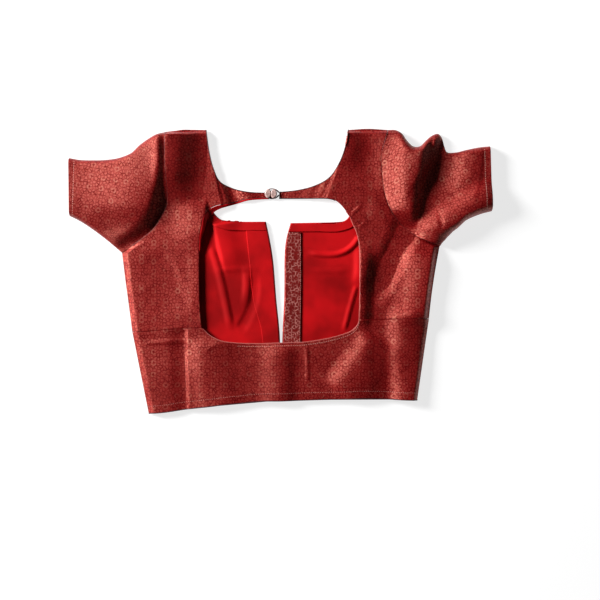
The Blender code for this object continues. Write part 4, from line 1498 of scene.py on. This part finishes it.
@dataclass
class Fronts:
    """The two fronts under the back, with their linings, neck facings and closing strips."""

    finishes: Finishes
    strip_stitches: Stitches = Stitches(long=1.6, wide=0.7)
    strip_stitches_in: float = 1.1
    walls: dict = field(default_factory=dict)

    @staticmethod
    def front_top(at: Spread) -> np.ndarray:
        """Top surface of a front, level on the surface."""
        return np.full(at.x.shape, CLOTH)

    @staticmethod
    def lining_top(height: float, at: Spread) -> np.ndarray:
        """Top surface of the lining or of a strip on it."""
        return height + relief(LINING_FOLDS, at.x, at.y)

    def build(self) -> None:
        """Build both fronts from the surface up."""
        for side, front, facing, strip, strip_cloth, strip_slot in (
                ("left", FRONT_LEFT, NECK_FACING_LEFT, PLACKET_LEFT, self.finishes.lining, "lining"),
                ("right", FRONT_RIGHT, NECK_FACING_RIGHT, PLACKET_RIGHT, self.finishes.strip, "brocade")):
            panel = Panel(front)
            self.walls["front_" + side] = Wall(
                f"front_{side}_cloth", panel, self.front_top, self.finishes.field,
                "brocade", "front_" + side, ("floor",), FRONT_WALL, COARSE_CELL, (0.0, FRONT_INSET))
            self.walls["lining_" + side] = Wall(
                f"front_lining_{side}_cloth", panel, partial(self.lining_top, LINING_LEVEL + LINING_CLOTH),
                self.finishes.lining, "lining", "front_lining_" + side, (f"front_{side}_cloth",),
                LINING_WALL, LINING_CELL, (LINING_INSET, SEAM_LAP), LINING_TRIMS)
            for name, ribs, cloth, slot in (("neck_facing_" + side, facing, self.finishes.lining, "lining"),
                                            ("placket_" + side, strip, strip_cloth, strip_slot)):
                top = partial(self.lining_top, STRIP_LEVEL + STRIP_CLOTH)
                self.walls[name] = Wall(name + "_cloth", Panel(ribs), top, cloth, slot, name,
                                        (f"front_lining_{side}_cloth",), STRIP_WALL)
        for wall in self.walls.values():
            wall.build()
        strip = self.walls["placket_right"]
        path = strip.from_edge(np.linspace(0.1, 3.9, 120), self.strip_stitches_in)
        strip.sewn.append(self.strip_stitches.row("placket_stitches", path, self.finishes.pale_thread))
        for wall in self.walls.values():
            wall.declare()


@dataclass
class Sleeve:
    """A short sleeve lying flat: a tube from the armhole seam to an open hem."""

    name: str
    panel: Panel
    back: Panel
    outward: float
    bow_rows: float
    rise: float
    loft: float
    grain: float
    finishes: Finishes

    def bow(self, chord: tuple, share: np.ndarray) -> np.ndarray:
        """How far the armhole seam lies from the straight line between its two ends.

        Args:
            chord: The upper and the underarm end.
            share: Shares of the way between them.

        Returns:
            One offset for each share.
        """
        first = next(i for i, rib in enumerate(self.back.ribs) if rib.corner == "outer")
        last = next(i for i, rib in enumerate(self.back.ribs) if rib.edge == "shoulder")
        return self.back.edge("outer", blend(float(last), float(first), share)) - blend(
            chord[0], chord[1], share[:, None])

    def plan(self, place: np.ndarray, share: np.ndarray) -> np.ndarray:
        """Points of the sleeve seen from above.

        Args:
            place: Places from the armhole to the hem, in rows of ribs.
            share: Shares of the way from the upper edge to the underarm edge.

        Returns:
            One point for each place.
        """
        chord = tuple(self.panel.edge(side, np.zeros(1))[0] for side in ("inner", "outer"))
        straight = blend(self.panel.edge("inner", place), self.panel.edge("outer", place), share[:, None])
        amount = ease(1.0 - place / self.bow_rows)
        return straight + self.bow(chord, share) * amount[:, None] + np.array([self.outward * SEAM_GAP, 0.0])

    def heights(self, place: np.ndarray, share: np.ndarray, upper: np.ndarray) -> np.ndarray:
        """Height of the tube's outer surface.

        Args:
            place: Places from the armhole to the hem, in rows of ribs.
            share: Shares of the way from the upper edge to the underarm edge.
            upper: Which points are on the upper layer, not the under one.

        Returns:
            The height at each point.
        """
        middle = np.abs(2.0 * share - 1.0)
        reach = np.minimum(share, 1.0 - share) * self.panel.lengths(place) / TOP_ROUNDING
        dome = np.sqrt(1.0 - np.clip(1.0 - reach, 0.0, 1.0) ** 2)
        flat = np.maximum(0.0, 1.0 - middle ** UNDER_ROUNDING) ** (1.0 / UNDER_ROUNDING)
        points = self.plan(place, share)
        seam = self.plan(np.zeros(place.shape), share)
        rise = flank(np.linalg.norm(points - seam, axis=1) / self.rise)
        dome = blend(flat, dome, rise)
        x, y = points[:, 0], points[:, 1]
        tucked = blend(LINING_LEVEL, BACK_LEVEL + back_relief(x, y), from_shoulder(self.back, x, y))
        crest = blend(CLOTH + tucked, self.loft, rise)
        crest = np.maximum(SLEEVE_LEAST, crest + cloth_relief(SLEEVE_FOLDS, x, y))
        edge = SLEEVE_EDGE / 2
        return np.where(upper, edge + (crest - edge) * dome, edge * (1.0 - flat))

    def build(self) -> bpy.types.Object:
        """Returns:
            The sleeve's cloth.
        """
        places = self.panel.stations(FINE_CELL, 0.0, float(self.panel.rows))
        data, row, column = cloth_grid(self.name + "_cloth", len(places) - 1, SLEEVE_SIDES)
        half = SLEEVE_SIDES // 2
        upper = column <= half
        share = 0.5 + 0.5 * np.cos(math.pi * np.where(upper, column, SLEEVE_SIDES - column) / half)
        place = places[row]
        points = np.column_stack([self.plan(place, share), self.heights(place, share, upper)])
        grid = np.zeros((len(places), SLEEVE_SIDES + 1, 3))
        grid[row, column] = points
        sine, cosine = math.sin(math.radians(self.grain)), math.cos(math.radians(self.grain))
        cloth = self.along_girth(grid)[row, column] @ np.array([[cosine, sine], [-sine, cosine]])
        set_points(data, points, cloth)
        mesh = bmesh.new()
        mesh.from_mesh(data)
        bmesh.ops.remove_doubles(mesh, verts=mesh.verts, dist=1e-6)
        face_outwards(mesh)
        mesh.to_mesh(data)
        mesh.free()
        piece = dress(self.name + "_cloth", data, self.finishes.border, (self.name,), SLEEVE_WALL)
        self.stitch_hem()
        return piece

    def stitch_hem(self) -> bpy.types.Object:
        """Stitch the hem's upper layer.

        Returns:
            The row of stitches.
        """
        share = np.linspace(*HEM_STITCHED, 60)
        place = np.full(share.shape, self.panel.rows - SLEEVE_HEM)
        path = np.column_stack([self.plan(place, share), self.heights(place, share, share > 0)])
        return Stitches().row(self.name + "_hem_stitches", path, self.finishes.pale_thread)

    @staticmethod
    def along_girth(grid: np.ndarray) -> np.ndarray:
        """Place of each point on the cloth, measured round the tube from the middle of its upper layer.

        Args:
            grid: The tube's points by row and column.

        Returns:
            The places by row and column, in millimetres.
        """
        steps = np.linalg.norm(np.diff(grid, axis=1), axis=2)
        reach = np.concatenate([np.zeros((len(grid), 1)), np.cumsum(steps, axis=1)], axis=1)
        middle = SLEEVE_SIDES // 4
        reach -= reach[:, middle:middle + 1]
        way = grid[:, SLEEVE_SIDES // 2, :2] - grid[:, 0, :2]
        way /= np.linalg.norm(way, axis=1)[:, None]
        return grid[:, middle, None, :2] + way[:, None] * reach[..., None]

    @staticmethod
    def unrolled(grid: np.ndarray) -> tuple:
        """Greatest length and girth of the tube along its surface, in metres."""
        return tuple(float(np.linalg.norm(np.diff(grid, axis=axis), axis=2).sum(axis=axis).max()) * MM
                     for axis in (0, 1))


@dataclass
class Closure:
    """The pearl button on the neck band and the cord loop round it."""

    finishes: Finishes
    long: float = 17.0
    wide: float = 12.5
    height: float = 4.0
    lean: float = -4.0
    lobes: tuple = ((-0.24, 0.53), (0.245, 0.51))               # middle and length, as shares of the whole
    strands: tuple = ((-24.0, 0.0), (8.0, 0.5), (40.0, 0.2))    # turn in degrees and reach of each strand
    strand: tuple = (1.1, 4.2, 1.3)
    cord: float = 1.5
    loop_long: float = 19.4
    loop_wide: float = 13.6
    gap_angle: float = 14.0

    def button(self) -> bpy.types.Object:
        """Pearl button of two cupped lobes side by side, each with a raised rim.

        Returns:
            The piece.
        """
        mesh = bmesh.new()
        for middle, long in self.lobes:
            points = [mesh.verts.new((x, 0.0, z)) for x, z in LOBE_PROFILE]
            edges = [mesh.edges.new(pair) for pair in zip(points, points[1:])]
            bmesh.ops.spin(mesh, geom=points + edges, cent=(0, 0, 0), axis=(0, 0, 1), dvec=(0, 0, 0),
                           angle=2 * math.pi, steps=48, use_merge=True, use_duplicate=False)
            lobe = [vert for vert in mesh.verts if not vert.tag]
            bmesh.ops.scale(mesh, vec=(long * self.long, self.wide, self.height), verts=lobe)
            bmesh.ops.translate(mesh, vec=(middle * self.long, 0.0, 0.0), verts=lobe)
            for vert in lobe:
                vert.tag = True
        bmesh.ops.remove_doubles(mesh, verts=mesh.verts, dist=1e-3)
        bmesh.ops.rotate(mesh, verts=mesh.verts, cent=(0, 0, 0),
                         matrix=Matrix.Rotation(math.radians(self.lean), 3, "Z"))
        face_outwards(mesh)
        return self.place(mesh, "button_pearl", self.finishes.pearl, "pearl", "button")

    def knot(self) -> bpy.types.Object:
        """Dark thread that holds the button, knotted in its notch.

        Returns:
            The piece.
        """
        mesh = bmesh.new()
        for turn, reach in self.strands:
            matrix = (Matrix.Translation((0.4 + reach, 0.22 * self.wide, 0.16 * self.height))
                      @ Matrix.Rotation(math.radians(turn), 4, "Z") @ Matrix.Diagonal((*self.strand, 1.0)))
            bmesh.ops.create_uvsphere(mesh, u_segments=14, v_segments=10, radius=0.5, matrix=matrix)
        return self.place(mesh, "button_thread", self.finishes.dark_thread, "pearl", "")

    def place(self, mesh: bmesh.types.BMesh, name: str, material: bpy.types.Material, slot: str,
              node: str) -> bpy.types.Object:
        """Move a finished bmesh to its node's middle and make a piece of it.

        Args:
            mesh: The bmesh, in millimetres round the origin.
            name: Name of the piece.
            material: Its finish.
            slot: The record's material slot; not used.
            node: The CAD node that it stands for, or nothing for sewing on the button.

        Returns:
            The piece.
        """
        low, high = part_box(node or "button")
        bmesh.ops.scale(mesh, vec=(MM, MM, MM), verts=mesh.verts)
        bmesh.ops.translate(mesh, vec=(low + high) / 2, verts=mesh.verts)
        return dress(name, to_data(mesh, name), material, (node,) if node else ())

    def loop(self) -> bpy.types.Object:
        """Round cord loop, open where it is sewn to the band.

        Returns:
            The piece.
        """
        mesh = bmesh.new()
        made = bmesh.ops.create_circle(mesh, cap_ends=True, segments=16, radius=self.cord / 2)
        bmesh.ops.rotate(mesh, verts=made["verts"], cent=(0, 0, 0),
                         matrix=Matrix.Rotation(math.pi / 2, 3, "X"))
        bmesh.ops.translate(mesh, verts=made["verts"], vec=(self.loop_wide / 2, 0, 0))
        gap = math.radians(self.gap_angle)
        bmesh.ops.rotate(mesh, verts=made["verts"], cent=(0, 0, 0), matrix=Matrix.Rotation(gap, 3, "Z"))
        bmesh.ops.spin(mesh, geom=mesh.faces[:], cent=(0, 0, 0), axis=(0, 0, 1), dvec=(0, 0, 0),
                       angle=2 * (math.pi - gap), steps=72, use_duplicate=False)
        bmesh.ops.scale(mesh, vec=(self.loop_long / self.loop_wide, 1.0, 1.0), verts=mesh.verts)
        face_outwards(mesh)
        return self.place(mesh, "button_loop_cord", self.finishes.dark_thread, "brocade", "button_loop")

    def build(self) -> None:
        """Build the button and its loop."""
        self.button()
        self.knot()
        self.loop()


@dataclass
class Studio:
    """White floor, one low soft key from the upper left, weak fill and the camera overhead."""

    distance: float = 2.0
    field_width: float = 0.840
    middle: tuple = (0.02745, -0.0405)
    sensor: float = 36.0
    cloth_height: float = 0.006
    key_from: tuple = (-0.92, 0.40)
    key_elevation: float = 21.5
    key_distance: float = 3.0
    key_size: float = 0.9
    key_watts: float = 240.0
    fill_low: float = 0.08
    fill_high: float = 0.45
    fill_sides: float = 0.24
    fill_top: float = 0.03
    floor_half: float = 3.0
    floor_drop: float = 0.0002

    def camera(self) -> None:
        """Camera straight above, framed on the blouse."""
        data = bpy.data.cameras.new("camera")
        data.sensor_width = self.sensor
        data.lens = self.sensor * (self.distance - self.cloth_height) / self.field_width
        camera = bpy.data.objects.new("camera", data)
        camera.location = (*self.middle, self.distance)
        bpy.context.scene.collection.objects.link(camera)
        bpy.context.scene.camera = camera

    def lights(self) -> None:
        """Key light and world fill."""
        data = bpy.data.lights.new("key", "AREA")
        data.shape, data.size, data.energy = "SQUARE", self.key_size, self.key_watts
        key = bpy.data.objects.new("key", data)
        level = Vector((*self.key_from, 0.0)).normalized()
        angle = math.radians(self.key_elevation)
        direction = level * math.cos(angle) + Vector((0, 0, math.sin(angle)))
        key.location = direction * self.key_distance
        key.rotation_euler = direction.to_track_quat("Z", "Y").to_euler()
        bpy.context.scene.collection.objects.link(key)
        world = Tree("studio", world=True)
        up = world.parts(world.place("Generated"))[2]
        fill = up.step(self.fill_low, self.fill_high, self.fill_sides, self.fill_top)
        bpy.context.scene.world = world.close(world.node("ShaderNodeBackground", {}, {
            "Color": rgba(1.0, 1.0, 1.0), "Strength": fill}).outputs[0])

    def floor(self) -> None:
        """White floor just under the blouse."""
        mesh = bmesh.new()
        bmesh.ops.create_grid(mesh, x_segments=4, y_segments=4, size=self.floor_half)
        bmesh.ops.translate(mesh, verts=mesh.verts, vec=(0.0, 0.0, -self.floor_drop))
        data = to_data(mesh, "floor")
        data.materials.append(Paper().make())
        floor = bpy.data.objects.new("floor", data)
        bpy.context.scene.collection.objects.link(floor)
        floor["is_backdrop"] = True

    def build(self) -> None:
        """Set up the floor, the lights and the camera."""
        self.floor()
        self.lights()
        self.camera()
        bpy.context.scene.view_settings.view_transform = "Standard"


def main() -> None:
    """Build the blouse and its studio, piece by piece."""
    logging.basicConfig(level=logging.INFO, format="%(message)s")
    Studio().build()
    finishes = Finishes(
        field=Brocade(Weave.FIELD).make(),
        border=Brocade(Weave.BORDER).make(),
        strip=Brocade(Weave.BORDER, silk=rgba(0.15, 0.003, 0.004), silk_warm=rgba(0.20, 0.004, 0.005),
                      border_cell=(0.0120, 0.0098), ring=0.0020, border_dot=0.0015, border_cover=0.10,
                      ring_weight=0.0, net=0.0044, net_weight=0.0, figured_weight=0.8).make(),
        lining=Lining().make(),
        pearl=Pearl().make(),
        pale_thread=Thread("pale_thread", rgba(0.72, 0.30, 0.24)).make(),
        # Near-black thread of the button, its loop and the neck and band cords; the same colour also draws
        # the lines of painted shade along the hem and the armhole seams.
        dark_thread=Thread("dark_thread", rgba(0.07, 0.004, 0.005), 0.0).make(),
        # Pale red cord of the window: a real cord, laid only on the lit edges, whose pale colour also paints
        # their highlight.
        piping=Thread("piping_cord", rgba(0.60, 0.12, 0.10)).make(),
    )
    Fronts(finishes).build()
    back = Back(finishes)
    back.build()
    Sleeve("sleeve_left", Panel(SLEEVE_LEFT), back.left, -1.0, LEFT_BOW_ROWS, LEFT_RISE, LEFT_LOFT,
           LEFT_GRAIN, finishes).build()
    Sleeve("sleeve_right", Panel(SLEEVE_RIGHT), back.right, 1.0, RIGHT_BOW_ROWS, RIGHT_RISE, RIGHT_LOFT,
           RIGHT_GRAIN, finishes).build()
    Closure(finishes).build()
    for piece in sorted(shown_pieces(), key=lambda made: made.name):
        LOG.info("%s: %d faces", piece.name, len(piece.data.polygons))


if __name__ == "__main__":
    main()
